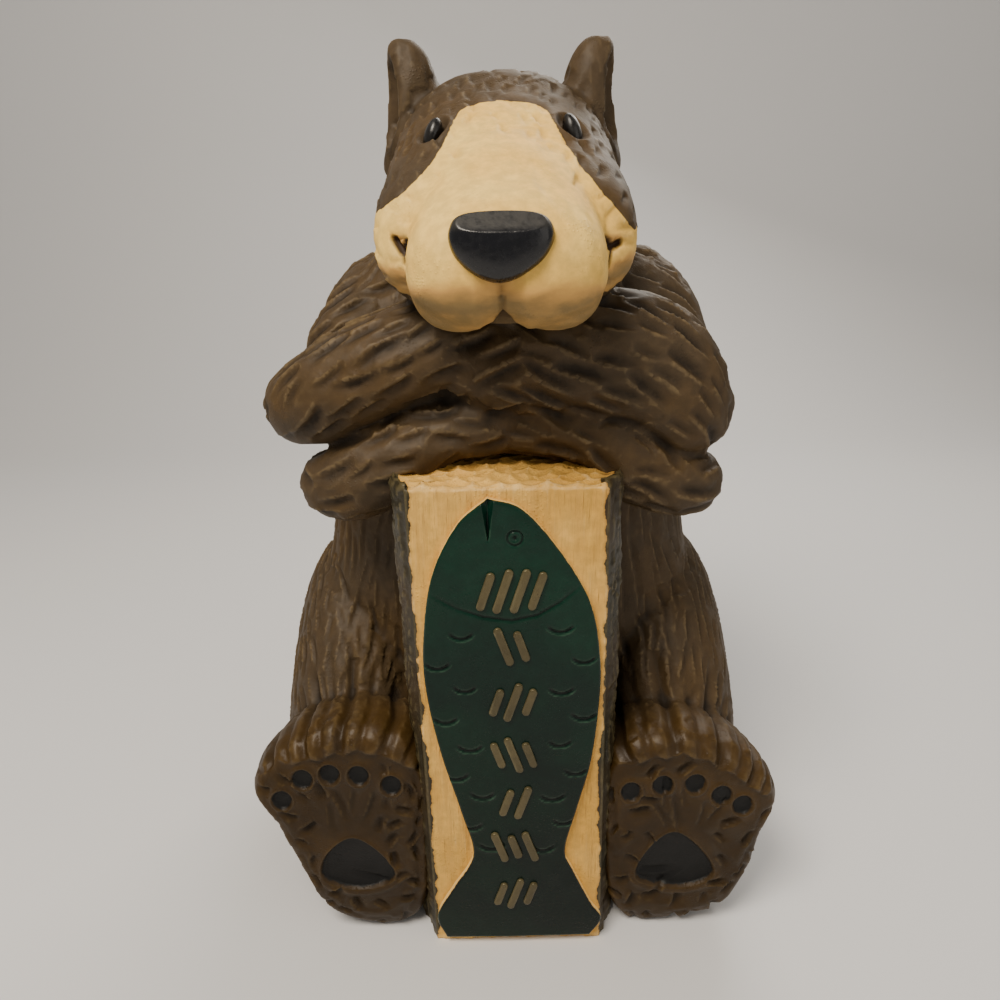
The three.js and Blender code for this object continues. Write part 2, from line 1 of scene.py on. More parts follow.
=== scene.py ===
"""A painted resin bear that sits behind a split-log sign post with its arms folded on top.

Tables are in millimetres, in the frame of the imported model: +X to the viewer's right,
+Y behind the bear, +Z up. Meshes are written in metres.
"""
import math

import bmesh
import bpy
import numpy as np
from mathutils import Matrix, Vector
from mathutils.kdtree import KDTree


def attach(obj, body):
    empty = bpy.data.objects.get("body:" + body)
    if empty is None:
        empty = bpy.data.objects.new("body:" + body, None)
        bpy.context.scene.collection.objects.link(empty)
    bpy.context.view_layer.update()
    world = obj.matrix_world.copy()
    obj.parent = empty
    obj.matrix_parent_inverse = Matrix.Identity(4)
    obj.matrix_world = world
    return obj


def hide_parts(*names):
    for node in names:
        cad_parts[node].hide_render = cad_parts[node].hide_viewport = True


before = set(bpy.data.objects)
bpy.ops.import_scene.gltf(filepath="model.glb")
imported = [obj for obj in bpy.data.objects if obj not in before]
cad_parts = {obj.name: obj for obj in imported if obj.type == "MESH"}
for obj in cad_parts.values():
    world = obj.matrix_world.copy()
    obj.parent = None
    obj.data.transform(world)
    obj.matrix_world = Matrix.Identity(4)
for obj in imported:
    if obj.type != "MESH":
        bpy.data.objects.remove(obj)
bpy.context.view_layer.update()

# Stage
# A plain pale floor that runs up into a pale backdrop, soft area lights and the camera.
# The camera stands where the shrinking of the sign's marks puts it, a little to the left.
MM = 0.001
FLOOR_REACH = 2.6
BACKDROP_START = 0.75
BACKDROP_RADIUS = 0.5


def object_from(name, points, faces, material=None, smooth=True):
    """An object whose mesh holds points, given in millimetres, and faces (n, 3 or 4)."""
    mesh = bpy.data.meshes.new(name)
    faces = faces.tolist() if isinstance(faces, np.ndarray) else faces
    mesh.from_pydata((np.asarray(points) * MM).tolist(), [], faces)
    mesh.update()
    mesh.shade_smooth() if smooth else mesh.shade_flat()
    made = bpy.data.objects.new(name, mesh)
    bpy.context.scene.collection.objects.link(made)
    if material:
        mesh.materials.append(material)
    return made


def node_material(name):
    """A new material, its node tree and its Principled BSDF."""
    made = bpy.data.materials.new(name)
    made.use_nodes = True
    tree = made.node_tree
    return made, tree, tree.nodes["Principled BSDF"]


def stage_sweep():
    """Floor and backdrop as one strip: flat, then a quarter circle, then straight up."""
    turn = np.linspace(0, math.pi / 2, 13)
    wall = BACKDROP_START + BACKDROP_RADIUS
    along = np.concatenate([[-FLOOR_REACH], BACKDROP_START + BACKDROP_RADIUS * np.sin(turn), [wall]])
    rise = np.concatenate([[0], BACKDROP_RADIUS * (1 - np.cos(turn)), [FLOOR_REACH]])
    rows = len(along)
    points = [(x, along[i], rise[i]) for i in range(rows) for x in (-FLOOR_REACH, FLOOR_REACH)]
    faces = [(2 * i, 2 * i + 1, 2 * i + 3, 2 * i + 2) for i in range(rows - 1)]
    return object_from("floor", np.array(points) / MM, faces)


floor = stage_sweep()
floor_paint, _, floor_shader = node_material("floor_paint")
floor_shader.inputs["Base Color"].default_value = (0.66, 0.66, 0.67, 1)
floor_shader.inputs["Roughness"].default_value = 0.6
floor.data.materials.append(floor_paint)


def soft_light(name, place, aim, width, watts, colour):
    """A square area light at place that looks at aim."""
    lamp = bpy.data.lights.new(name, "AREA")
    lamp.shape = "SQUARE"
    lamp.size = width
    lamp.energy = watts
    lamp.color = colour
    made = bpy.data.objects.new(name, lamp)
    made.location = place
    made.rotation_euler = (Vector(aim) - Vector(place)).to_track_quat("-Z", "Y").to_euler()
    bpy.context.scene.collection.objects.link(made)


soft_light("key", (-0.4, -0.62, 1.25), (0, -0.03, 0.22), 0.5, 21, (1.0, 0.9, 0.76))
soft_light("fill", (0.95, -0.75, 0.55), (0, 0, 0.2), 1.1, 3.2, (1.0, 0.94, 0.85))
soft_light("rim", (0.35, 0.8, 0.95), (0, 0, 0.28), 0.7, 8, (1.0, 0.94, 0.84))

world = bpy.data.worlds.new("studio")
world.use_nodes = True
world.node_tree.nodes["Background"].inputs["Color"].default_value = (1.0, 0.95, 0.87, 1)
world.node_tree.nodes["Background"].inputs["Strength"].default_value = 0.32
bpy.context.scene.world = world

CAMERA_PLACE = (-0.004, -0.385, 0.3445)
CAMERA_DOWN = math.radians(20.5)
CAMERA_ROLL = math.radians(-1.1)
CAMERA_LENS = 27.36

camera = bpy.data.objects.new("camera", bpy.data.cameras.new("camera"))
camera.data.lens = CAMERA_LENS
camera.data.sensor_width = 36
camera.data.clip_start = 0.01
turned = Matrix.Rotation(math.pi / 2 - CAMERA_DOWN, 4, "X") @ Matrix.Rotation(CAMERA_ROLL, 4, "Z")
camera.matrix_world = Matrix.Translation(CAMERA_PLACE) @ turned
bpy.context.scene.collection.objects.link(camera)
bpy.context.scene.camera = camera

# Bear, the casting's main forms
# The animal is one hollow resin casting. Its maker's model was built from rounded masses:
# torso, head, snout, folded arms, haunches and feet. They are the solid's own tables.
TORSO = dict(lie="level", power=2.3, stations=[
    [0, 0, 0, 100, 104, 40],
    [0, 0, 10, 108, 116, 44],
    [0, 0, 45, 113, 128, 48],
    [0, 0, 85, 114, 131, 48],
    [0, 0, 122, 110, 126, 48],
    [0, 0, 156, 102, 116, 48],
    [0, 0, 187, 94, 104, 47],
    [0, 0, 220, 90, 93, 46],
    [0, 0, 255, 89, 85, 45],
    [0, 0, 284, 86, 79, 42],
    [0, 0, 304, 80, 72, 36],
    [0, 0, 320, 70, 64, 28],
    [0, 0, 335, 54, 52, 20],
    [0, 0, 346, 34, 38, 10],
])
HEAD = dict(lie="upright", power=2.35, stations=[
    [0, 56, 350, 10, 10, 10],
    [0, 50, 350, 25, 27, 25],
    [0, 36, 350, 38, 40, 38],
    [0, 12, 350, 47, 50, 47],
    [0, -16, 350, 49, 53, 50],
    [0, -38, 346, 49.5, 47, 47],
    [0, -58, 340, 50, 42, 38],
    [0, -76, 336, 50.5, 35, 30],
    [0, -89, 334, 47, 28, 23],
    [0, -97, 334, 36, 20, 16],
])
MUZZLE = dict(lie="upright", power=2.3, stations=[
    [0, -44, 345, 26, 40, 34],
    [0, -66, 338, 32, 39, 31],
    [0, -86, 333, 35, 35, 27],
    [0, -102, 327, 36, 31, 21],
    [0, -114, 325, 34, 26, 18],
    [0, -122, 326, 28, 19, 15],
    [0, -127, 328, 17, 11, 10],
])
LOBE = dict(lie="upright", blunt=2.4, stations=[
    [17, -84, 322, 18, 18, 17],
    [17, -104, 323, 18, 18, 18],
    [16, -124, 325, 15, 15, 15],
])
EAR_SHELL = dict(lie="level", stations=[
    [38, -4, 362, 16, 16, 15],
    [39.5, -4, 378, 14, 15, 14],
    [39.5, -4, 394, 12.5, 13.5, 12.5],
    [40, -4, 405, 10.5, 11.5, 11],
    [41.5, -4, 412.5, 8, 8.5, 8.5],
    [43, -4, 417, 4.5, 4.5, 4.5],
])
EAR_CUP = dict(lie="level", blunt=2.6, stations=[
    [56, -10, 370, 11, 10.5, 9],
    [56, -9, 392, 14, 10, 8.5],
    [53, -8, 414, 8, 6.5, 6],
])
UPPER_ARM_LEFT = dict(lie="across", blunt=4, mirror=-1, stations=[
    [44, 38, 306, 28, 32, 32],
    [56, 10, 297, 29, 32, 32],
    [70, -16, 281, 24, 28, 28],
    [84, -42, 265, 19, 21, 20],
])
UPPER_ARM_RIGHT = dict(lie="across", blunt=4, stations=[
    [46, 38, 306, 28, 32, 32],
    [60, 10, 297, 31, 33, 33],
    [70, -14, 280, 27, 31, 31],
    [78, -40, 258, 20, 24, 22],
])
FOREARM_LEFT = dict(lie="across", blunt=5, mirror=-1, stations=[
    [104, -44, 259, 18, 17, 15],
    [83, -53, 270, 26, 20, 20],
    [58, -58, 284, 26, 21, 21],
    [28, -58, 294, 26, 20, 20],
    [-4, -54, 297, 24, 18, 18],
])
FOREARM_RIGHT = dict(lie="across", blunt=5, stations=[
    [90, -42, 252, 20, 18, 16],
    [75, -54, 263, 28, 26, 24],
    [56, -58, 282, 27, 31, 29],
    [24, -60, 288, 26, 27, 27],
    [-8, -60, 287, 25, 24, 24],
    [-38, -54, 284, 18, 16, 16],
])
PAW_LEFT = dict(lie="across", blunt=5, mirror=-1, stations=[
    [-34, -54, 258, 22, 16, 14],
    [24, -57, 256, 24, 18, 13],
    [54, -60, 243, 23, 20, 19],
    [74, -59, 234, 21, 18, 18],
    [92, -52, 237, 15, 13, 13],
])
PAW_RIGHT = dict(lie="across", blunt=5, stations=[
    [-34, -54, 258, 22, 16, 14],
    [24, -57, 256, 24, 18, 13],
    [56, -60, 241, 23, 19, 18],
    [77, -59, 232, 21, 16, 16],
    [95, -52, 235, 15, 13, 13],
])
HAUNCH = dict(lie="upright", power=2.05, blunt=5, stations=[
    [80, 84, 60, 34, 70, 70],
    [85, 48, 60, 40, 98, 70],
    [86, 10, 60, 41, 120, 70],
    [84, -22, 58, 41, 108, 68],
    [82, -50, 58, 39, 84, 66],
    [80, -84, 56, 34, 50, 60],
])
TAIL = dict(lie="upright", blunt=3, stations=[
    [0, 112, 64, 15, 14, 14],
    [0, 125, 60, 17, 15, 17],
    [0, 136, 54, 14, 12, 14],
])
FOOT_OUTLINES = {
    -1: [[-41, 60], [-41, 98], [-52, 119], [-81, 125], [-109, 113], [-125, 92], [-117, 72],
         [-108, 45], [-97, 16], [-78, 3], [-55, 3], [-44, 22]],
    1: [[43, 60], [43, 94], [54, 113], [81, 118], [110, 104], [127, 82], [122, 58], [117, 33],
        [106, 11], [84, 2], [58, 2], [46, 22]],
}
FOOT_MIDDLES = {-1: (-80, 58), 1: (82, 55)}
FOOT_STEPS = [[-36, 0.66], [-54, 0.9], [-72, 1], [-86, 1], [-92, 0.965], [-96, 0.9], [-98, 0.8]]


def blended(before, first, second, after, step):
    """Uniform Catmull-Rom from first to second at step 0..1, by the rows on either side."""
    bend = 2 * before - 5 * first + 4 * second - after
    twist = 3 * first - before - 3 * second + after
    return 0.5 * (2 * first + (second - before) * step + bend * step**2 + twist * step**3)


def catmull(rows, share):
    """Smooth values through the rows at share 0..1, with the end rows mirrored."""
    rows = np.asarray(rows, float)
    spans = len(rows) - 1
    place = np.clip(share, 0, 1) * spans
    span = np.minimum(place.astype(int), spans - 1)
    step = (place - span)[..., None]
    padded = np.vstack([2 * rows[0] - rows[1], rows, 2 * rows[-1] - rows[-2]])
    return blended(*(padded[span + k] for k in range(4)), step)


def form_skin(form, share, angle):
    """Points of a form's skin, for arrays of share along it and angle round it.

    Round the smooth line of middles runs a superellipse: half * |cos|^(2/p) to the side and
    rise or fall * |sin|^(2/p) up or down, times sqrt(1 - |2 share - 1|^blunt) at the ends.
    """
    share, angle = np.broadcast_arrays(np.asarray(share, float), np.asarray(angle, float))
    stations = np.array(form["stations"], float)
    middle = catmull(stations[:, :3], share)
    girth = catmull(stations[:, 3:], share)
    power = form.get("power", 2.2)
    blunt = form.get("blunt", 0)
    close = np.sqrt(np.clip(1 - np.abs(2 * share - 1) ** blunt, 0, 1)) if blunt else 1.0
    side = np.broadcast_to([1.0, 0, 0], middle.shape)
    rise = np.broadcast_to([0, 1.0, 0] if form["lie"] == "level" else [0, 0, 1.0], middle.shape)
    if form["lie"] == "across":
        step = 1e-3
        way = catmull(stations[:, :3], np.clip(share + step, 0, 1))
        way = way - catmull(stations[:, :3], np.clip(share - step, 0, 1))
        way = way / np.linalg.norm(way, axis=-1, keepdims=True)
        side = np.cross(way, [0, 0, 1.0])
        side = side / np.linalg.norm(side, axis=-1, keepdims=True)
        rise = np.cross(side, way)
    wide = np.sign(np.cos(angle)) * np.abs(np.cos(angle)) ** (2 / power) * girth[..., 0] * close
    reach = np.where(np.sin(angle) > 0, girth[..., 1], girth[..., 2])
    high = np.sign(np.sin(angle)) * np.abs(np.sin(angle)) ** (2 / power) * reach * close
    points = middle + side * wide[..., None] + rise * high[..., None]
    points[..., 0] *= form.get("mirror", 1)
    points[..., 2] = np.maximum(points[..., 2], 0)
    return points


def closed_grid(rings, first_pole, last_pole):
    """Points and faces of a closed skin: rings (rows, columns, 3) and a pole at each end."""
    rows, columns = rings.shape[:2]
    points = np.vstack([rings.reshape(-1, 3), first_pole, last_pole])
    row, column = np.meshgrid(np.arange(rows - 1), np.arange(columns), indexing="ij")
    after = (column + 1) % columns
    quads = np.stack([row * columns + column, row * columns + after,
                      (row + 1) * columns + after, (row + 1) * columns + column], -1).reshape(-1, 4)
    edge = np.arange(columns)
    ahead = (edge + 1) % columns
    low = np.stack([ahead, edge, np.full(columns, len(points) - 2)], -1)
    top = (rows - 1) * columns
    high = np.stack([top + edge, top + ahead, np.full(columns, len(points) - 1)], -1)
    return points, quads.tolist() + low.tolist() + high.tolist()


def form_mesh(form, rows=70, columns=96):
    """The closed skin of one form."""
    share = np.linspace(0, 1, rows + 1)
    if form.get("blunt", 0):
        share = ((1 - np.cos(np.pi * share)) / 2)[1:-1]
    angle = np.linspace(0, 2 * np.pi, columns, endpoint=False)
    rings = form_skin(form, share[:, None], angle[None, :])
    stations = np.array(form["stations"], float)[:, :3]
    poles = stations[[0, -1]] * [form.get("mirror", 1), 1, 1]
    return closed_grid(rings, poles[0], poles[1])


def closed_outline(corners, share):
    """Points of a closed smooth outline through the corners, at share 0..1 round it."""
    corners = np.asarray(corners, float)
    looped = np.vstack([corners[-1:], corners, corners[:2]])
    place = (np.asarray(share) % 1) * len(corners)
    span = place.astype(int)
    step = (place - span)[..., None]
    return blended(*(looped[span + k] for k in range(4)), step)


def boss_mesh(corners, middle, steps, rows=60, columns=160):
    """An XZ outline carried along Y and shrunk about its middle by the share of each step."""
    edge = closed_outline(corners, np.linspace(0, 1, columns, endpoint=False))
    depth, share = catmull(steps, np.linspace(0, 1, rows)).T
    flat = np.asarray(middle) + (edge[None] - middle) * share[:, None, None]
    rings = np.stack([flat[..., 0], np.broadcast_to(depth[:, None], flat.shape[:2]), flat[..., 1]], -1)
    rings[..., 2] = np.maximum(rings[..., 2], 0)
    poles = [(middle[0], depth[0], middle[1]), (middle[0], depth[-1], middle[1])]
    return closed_grid(rings, *poles)


def mirrored(form):
    """The same form on the other side of the bear."""
    return {**form, "mirror": -form.get("mirror", 1)}


HAUNCHES = {1: HAUNCH, -1: mirrored(HAUNCH)}
FORMS = [TORSO, HEAD, MUZZLE, LOBE, mirrored(LOBE), UPPER_ARM_LEFT, UPPER_ARM_RIGHT,
         FOREARM_LEFT, FOREARM_RIGHT, PAW_LEFT, PAW_RIGHT, *HAUNCHES.values(), TAIL]


def joined(parts):
    """Points and faces of several closed skins as one list."""
    points, faces, start = [], [], 0
    for part_points, part_faces in parts:
        points.append(part_points)
        faces.extend([[corner + start for corner in face] for face in part_faces])
        start += len(part_points)
    return np.vstack(points), faces


def evaluated(made):
    """The object's mesh with its modifiers applied, in place of the old one."""
    bpy.context.view_layer.update()
    depsgraph = bpy.context.evaluated_depsgraph_get()
    mesh = bpy.data.meshes.new_from_object(made.evaluated_get(depsgraph))
    made.modifiers.clear()
    old = made.data
    made.data = mesh
    bpy.data.meshes.remove(old)
    return made


def mesh_points(mesh):
    """The mesh's points in millimetres."""
    flat = np.empty(len(mesh.vertices) * 3, np.float32)
    mesh.vertices.foreach_get("co", flat)
    return flat.reshape(-1, 3).astype(float) / MM


def flip_if_inside_out(piece):
    """Turns all faces round when the mesh's signed volume is below zero."""
    mesh = piece.data
    mesh.calc_loop_triangles()
    corners = np.empty(len(mesh.loop_triangles) * 3, np.int32)
    mesh.loop_triangles.foreach_get("vertices", corners)
    places = mesh_points(mesh)
    a, b, c = (places[corners[k::3]] for k in range(3))
    if np.einsum("ij,ij->i", a, np.cross(b, c)).sum() < 0:
        mesh.flip_normals()


def ear_object(side):
    """An ear: the shell with its cup cut out."""
    turn = {} if side > 0 else {"mirror": -1}
    shell = object_from("ear_shell", *form_mesh({**EAR_SHELL, **turn}, 40, 64))
    cup = object_from("ear_cup", *form_mesh({**EAR_CUP, **turn}, 40, 48))
    for piece in (shell, cup):
        flip_if_inside_out(piece)
    cut = shell.modifiers.new("cup", "BOOLEAN")
    cut.operation = "DIFFERENCE"
    cut.object = cup
    evaluated(shell)
    bpy.data.objects.remove(cup)
    return shell


def mesh_edges(mesh):
    """The mesh's edges as pairs of point numbers."""
    flat = np.empty(len(mesh.edges) * 2, np.int32)
    mesh.edges.foreach_get("vertices", flat)
    return flat.reshape(-1, 2)


def set_points(mesh, points):
    """Writes points given in millimetres back to the mesh."""
    mesh.vertices.foreach_set("co", (points * MM).astype(np.float32).ravel())
    mesh.update()


def relaxed(points, edges, share, times):
    """Points moved to the mean of their neighbours by share, times over."""
    count = len(points)
    degree = np.maximum(np.bincount(edges.ravel(), minlength=count), 1)[:, None]
    a, b = edges.T
    for _ in range(times):
        total = np.stack([np.bincount(a, points[b, k], count) + np.bincount(b, points[a, k], count)
                          for k in range(3)], -1)
        points = points + share * (total / degree - points)
    return points


def outer_island(count, edges):
    """True for the points joined by edges to the largest group."""
    label = np.arange(count)
    a, b = edges.T
    while True:
        low = np.minimum(label[a], label[b])
        lower = label.copy()
        np.minimum.at(lower, label[a], low)
        np.minimum.at(lower, label[b], low)
        lower = lower[lower]
        if np.array_equal(lower, label):
            break
        label = lower
    return label == np.bincount(label).argmax()


def point_normals(mesh):
    """The mesh's point normals."""
    flat = np.empty(len(mesh.vertices) * 3, np.float32)
    mesh.vertex_normals.foreach_get("vector", flat)
    return flat.reshape(-1, 3).astype(float)


VOXEL = 1.35


def cast_bear():
    """One skin over all forms, remeshed in small cells."""
    ears = [ear_object(side) for side in (-1, 1)]
    parts = [form_mesh(form) for form in FORMS]
    parts += [boss_mesh(FOOT_OUTLINES[side], FOOT_MIDDLES[side], FOOT_STEPS) for side in (-1, 1)]
    for ear in ears:
        parts.append((mesh_points(ear.data), [list(face.vertices) for face in ear.data.polygons]))
        bpy.data.objects.remove(ear)
    bear = object_from("bear_casting", *joined(parts))
    remesh = bear.modifiers.new("skin", "REMESH")
    remesh.mode = "VOXEL"
    remesh.voxel_size = VOXEL * MM
    evaluated(bear)
    return bear


bear = cast_bear()

# Bear, the carving
# The maker's model was cut with gouges before it was moulded: long strokes down the coat,
# broad ones along the arms, short ones on the crown, deep flutes between the toes. All of
# it is in the casting's own skin.
FUR = {
    "coat": dict(length=(18, 32), width=(2.8, 4.2), depth=(0.8, 1.3), gaps=(19, 5.0), lean=0.2),
    "thigh": dict(length=(13, 24), width=(3.0, 4.4), depth=(0.9, 1.6), gaps=(15, 5.4), lean=0.26),
    "arm": dict(length=(15, 27), width=(4.8, 7.2), depth=(1.5, 2.4), gaps=(15, 7.0), lean=0.24),
    "paw": dict(length=(14, 24), width=(4.8, 7.2), depth=(1.4, 2.2), gaps=(15, 7.4), lean=0.34),
    "crown": dict(length=(7, 12), width=(2.7, 4.0), depth=(0.8, 1.3), gaps=(9.5, 5.0), lean=0.34),
    "ear": dict(length=(12, 20), width=(2.6, 3.6), depth=(0.25, 0.4), gaps=(18, 7), lean=0.12),
    "foot": dict(length=(6, 11), width=(2.6, 3.8), depth=(0.5, 0.9), gaps=(11, 7.5), lean=0.6),
    "sole": dict(length=(7, 11), width=(3.4, 5.2), depth=(1.6, 2.5), gaps=(10, 7.6), lean=1.8),
}
FUR_OF_FORM = {
    "coat": [TORSO, TAIL],
    "thigh": list(HAUNCHES.values()),
    "arm": [UPPER_ARM_LEFT, UPPER_ARM_RIGHT, FOREARM_LEFT, FOREARM_RIGHT],
    "paw": [PAW_LEFT, PAW_RIGHT],
    "crown": [HEAD],
    "ear": [EAR_SHELL, mirrored(EAR_SHELL)],
    "muzzle": [MUZZLE, LOBE, mirrored(LOBE)],
}
CANDIDATES = 26000
STROKE_FLOOR = -0.3
STROKE_WALLS = (0.75, 1.4)
STROKE_REACH = 1.9
STROKE_DEEPEST = 6
STROKE_FACING = 0.2
LIP_SHARE = 0.3
LIP_PLACE = (-1.25, 0.28)
EYE_CLEAR = 2.3
PAD_CLEAR = 4
LEDGE_CLEAR = 8
FLOOR_CLEAR = 3
SKIN_APART = 9
RIVAL_CELL = 22
CELL = 12.0
TOE_PADS = {
    -1: [[-110.5, 86], [-99.5, 98], [-86.5, 100.5], [-73, 99.5], [-58, 93.5]],
    1: [[109.5, 78], [99, 84], [86, 91], [70.5, 90.5], [55.5, 87]],
}
BIG_PADS = {
    -1: [[-94.5, 37], [-92.7, 51], [-79, 62], [-65.5, 51], [-60.5, 37], [-77, 30.5]],
    1: [[61, 34], [65.5, 51], [77.5, 62], [91.5, 50.5], [98, 35], [82, 28]],
}
TOE_PAD_HALF = (4.6, 5.3)
PAD_REACH = 9
PAD_DEPTH = 1.4
PAD_RIM = 0.75
HEEL_RIM = 1.3
HEEL_TOP = 40
TOE_TURN = 0.33
FLUTE_WANDER = 0.012
FLUTES = [(0.0, 2.6, 1.5), (0.5, 3.6, 3.2)]
HOOD_EDGE = {
    -1: [[-118, 100], [-111, 108], [-103, 107.5], [-97, 110.5], [-90, 110], [-83, 114], [-79, 112.5],
         [-72, 115.5], [-68, 113], [-61, 112.5], [-54, 108], [-44, 101]],
    1: [[45, 100], [52, 104], [58, 104], [66, 108.5], [71, 107], [79, 110], [84, 107], [91, 106],
        [96, 101.5], [103, 98], [111, 91], [120, 84]],
}
HOOD = dict(inside=36, front=-46, low=84, top=136)
SOLE_REGION = dict(inside=40, back=-70, front=-90, top=115)
SOLE_DEPTH = 2.2
EYE_PLACES = {-1: (-27.3, -60.5, 373.2), 1: (26.8, -60.0, 374.0)}
EYE_HALVES = (3.6, 5.4, 7.0)
EYE_LEAN = 0.24
LID_LIFT = 0.7
SOCKET_DEPTH = 1.5


def unit(vectors):
    """Vectors scaled to length 1."""
    return vectors / np.maximum(np.linalg.norm(vectors, axis=-1, keepdims=True), 1e-9)


def rounded_step(value, start, end):
    """0 below start, 1 above end, 3t^2 - 2t^3 between."""
    share = ((value - start) / (end - start)).clip(0, 1)
    return share * share * (3 - 2 * share)


def bump(value, middle, width):
    """1 at the middle and falling off to both sides: exp(-((value - middle) / width)^2)."""
    return np.exp(-((value - middle) / width)**2)


def neighbourhood(points):
    """A lookup that gives the numbers of the points within a box about a place.

    The points are sorted by the cell they lie in, so that a column of cells is one slice.
    """
    low = np.floor(points.min(0) / CELL).astype(int) - 1
    size = np.floor(points.max(0) / CELL).astype(int) + 2 - low
    cell = np.floor(points / CELL).astype(int) - low
    flat = (cell[:, 0] * size[1] + cell[:, 1]) * size[2] + cell[:, 2]
    order = np.argsort(flat, kind="stable")
    starts = np.searchsorted(flat[order], np.arange(size.prod() + 1))

    def near(place, reach):
        first = np.clip(np.floor((place - reach) / CELL).astype(int) - low, 0, size - 1)
        last = np.clip(np.floor((place + reach) / CELL).astype(int) - low, 0, size - 1)
        slices = []
        for i in range(first[0], last[0] + 1):
            for j in range(first[1], last[1] + 1):
                row = (i * size[1] + j) * size[2]
                slices.append(order[starts[row + first[2]]:starts[row + last[2] + 1]])
        return np.concatenate(slices)

    return near


def form_frames(form, rows=34, columns=44):
    """Points of a form's skin with the direction along the form there."""
    share = np.linspace(0.02, 0.98, rows)[:, None]
    angle = np.linspace(0, 2 * np.pi, columns, endpoint=False)[None]
    points = form_skin(form, share, angle)
    along = form_skin(form, share + 0.01, angle) - form_skin(form, share - 0.01, angle)
    return points.reshape(-1, 3), unit(along.reshape(-1, 3))


def fur_lookup():
    """A tree of the forms' skins, with each sample's kind of fur and direction."""
    kinds, points, along = [], [], []
    for kind, forms in FUR_OF_FORM.items():
        for form in forms:
            places, ways = form_frames(form)
            kinds += [kind] * len(places)
            points.append(places)
            along.append(ways)
    for side in (-1, 1):
        places, _ = boss_mesh(FOOT_OUTLINES[side], FOOT_MIDDLES[side], FOOT_STEPS, 24, 60)
        kinds += ["foot"] * len(places)
        points.append(places)
        along.append(unit(places - np.array([FOOT_MIDDLES[side][0], -60, FOOT_MIDDLES[side][1]])))
    points = np.vstack(points)
    tree = KDTree(len(points))
    for number, place in enumerate(points):
        tree.insert(place, number)
    tree.balance()
    return tree, kinds, np.vstack(along)


def fur_flow(kind, place, along):
    """The way the strokes run at a place: down the coat, to the foot, or along the form."""
    if kind == "coat":
        return np.array([place[0] * 0.0022, 0.1, -1.0])
    side = 1 if place[0] > 0 else -1
    if kind == "thigh":
        return unit(np.array([side * 80.0, -100.0, 40.0]) - place)
    if kind == "arm":
        return np.array([side * 0.8, 0.0, -0.42 - 0.018 * max(0.0, abs(place[0]) - 60)])
    return along


def eye_reach(points, side):
    """Distance from an eye's middle in shares of its half axes, 1 on the bead's skin."""
    offset = points - np.array(EYE_PLACES[side])
    lean = side * EYE_LEAN
    across = offset[:, 0] + lean * offset[:, 2]
    return np.linalg.norm(np.stack([across, offset[:, 1], offset[:, 2]], 1) / EYE_HALVES, axis=1)


def hood_edge(x):
    """Height of the ledge that the toes make over the sole, at x."""
    corners = np.array(HOOD_EDGE[-1] + HOOD_EDGE[1], float)
    return np.interp(x, corners[:, 0], corners[:, 1])


def fur_strokes(points, normals, pads, rng):
    """Strokes spread over the skin at random places, none too near one kept before it.

    Too near means (along / gap)^2 + (across / gap)^2 below 1 in the stroke's own frame.
    """
    tree, kinds, ways = fur_lookup()
    eyes = np.minimum(eye_reach(points, -1), eye_reach(points, 1))
    kept = []
    by_cell = {}
    for number in rng.permutation(len(points))[:CANDIDATES]:
        place = points[number]
        out = normals[number]
        _, sample, _ = tree.find(place)
        kind = kinds[sample]
        if kind == "muzzle" or place[2] < FLOOR_CLEAR or eyes[number] < EYE_CLEAR:
            continue
        if kind == "foot" and out[1] < -0.5:
            kind = "sole"
            if pads[number] > -PAD_CLEAR or place[2] > hood_edge(place[0]) - LEDGE_CLEAR:
                continue
        fur = FUR[kind]
        flow = fur_flow(kind, place, ways[sample])
        lean, size, bend = rng.uniform(-1, 1, 3)
        along = unit(flow - out * (flow @ out))
        across = np.cross(out, along)
        along = unit(along + across * lean * fur["lean"])
        across = np.cross(out, along)
        cell = tuple(np.floor(place / RIVAL_CELL).astype(int))
        rivals = [other for i in (-1, 0, 1) for j in (-1, 0, 1) for k in (-1, 0, 1)
                  for other in by_cell.get((cell[0] + i, cell[1] + j, cell[2] + k), ())]
        if rivals:
            offset = np.array([rival[0] for rival in rivals]) - place
            spread = (offset @ along / fur["gaps"][0])**2 + (offset @ across / fur["gaps"][1])**2
            level = np.abs(offset @ out) < SKIN_APART
            if np.any((spread < 1) & level):
                continue
        share = (size + 1) / 2
        half_length, half_width, depth = (fur[key][0] + share * (fur[key][1] - fur[key][0])
                                          for key in ("length", "width", "depth"))
        stroke = (place, along, out, half_length / 2, half_width / 2, depth, bend * 0.5)
        by_cell.setdefault(cell, []).append(stroke)
        kept.append(stroke)
    return kept


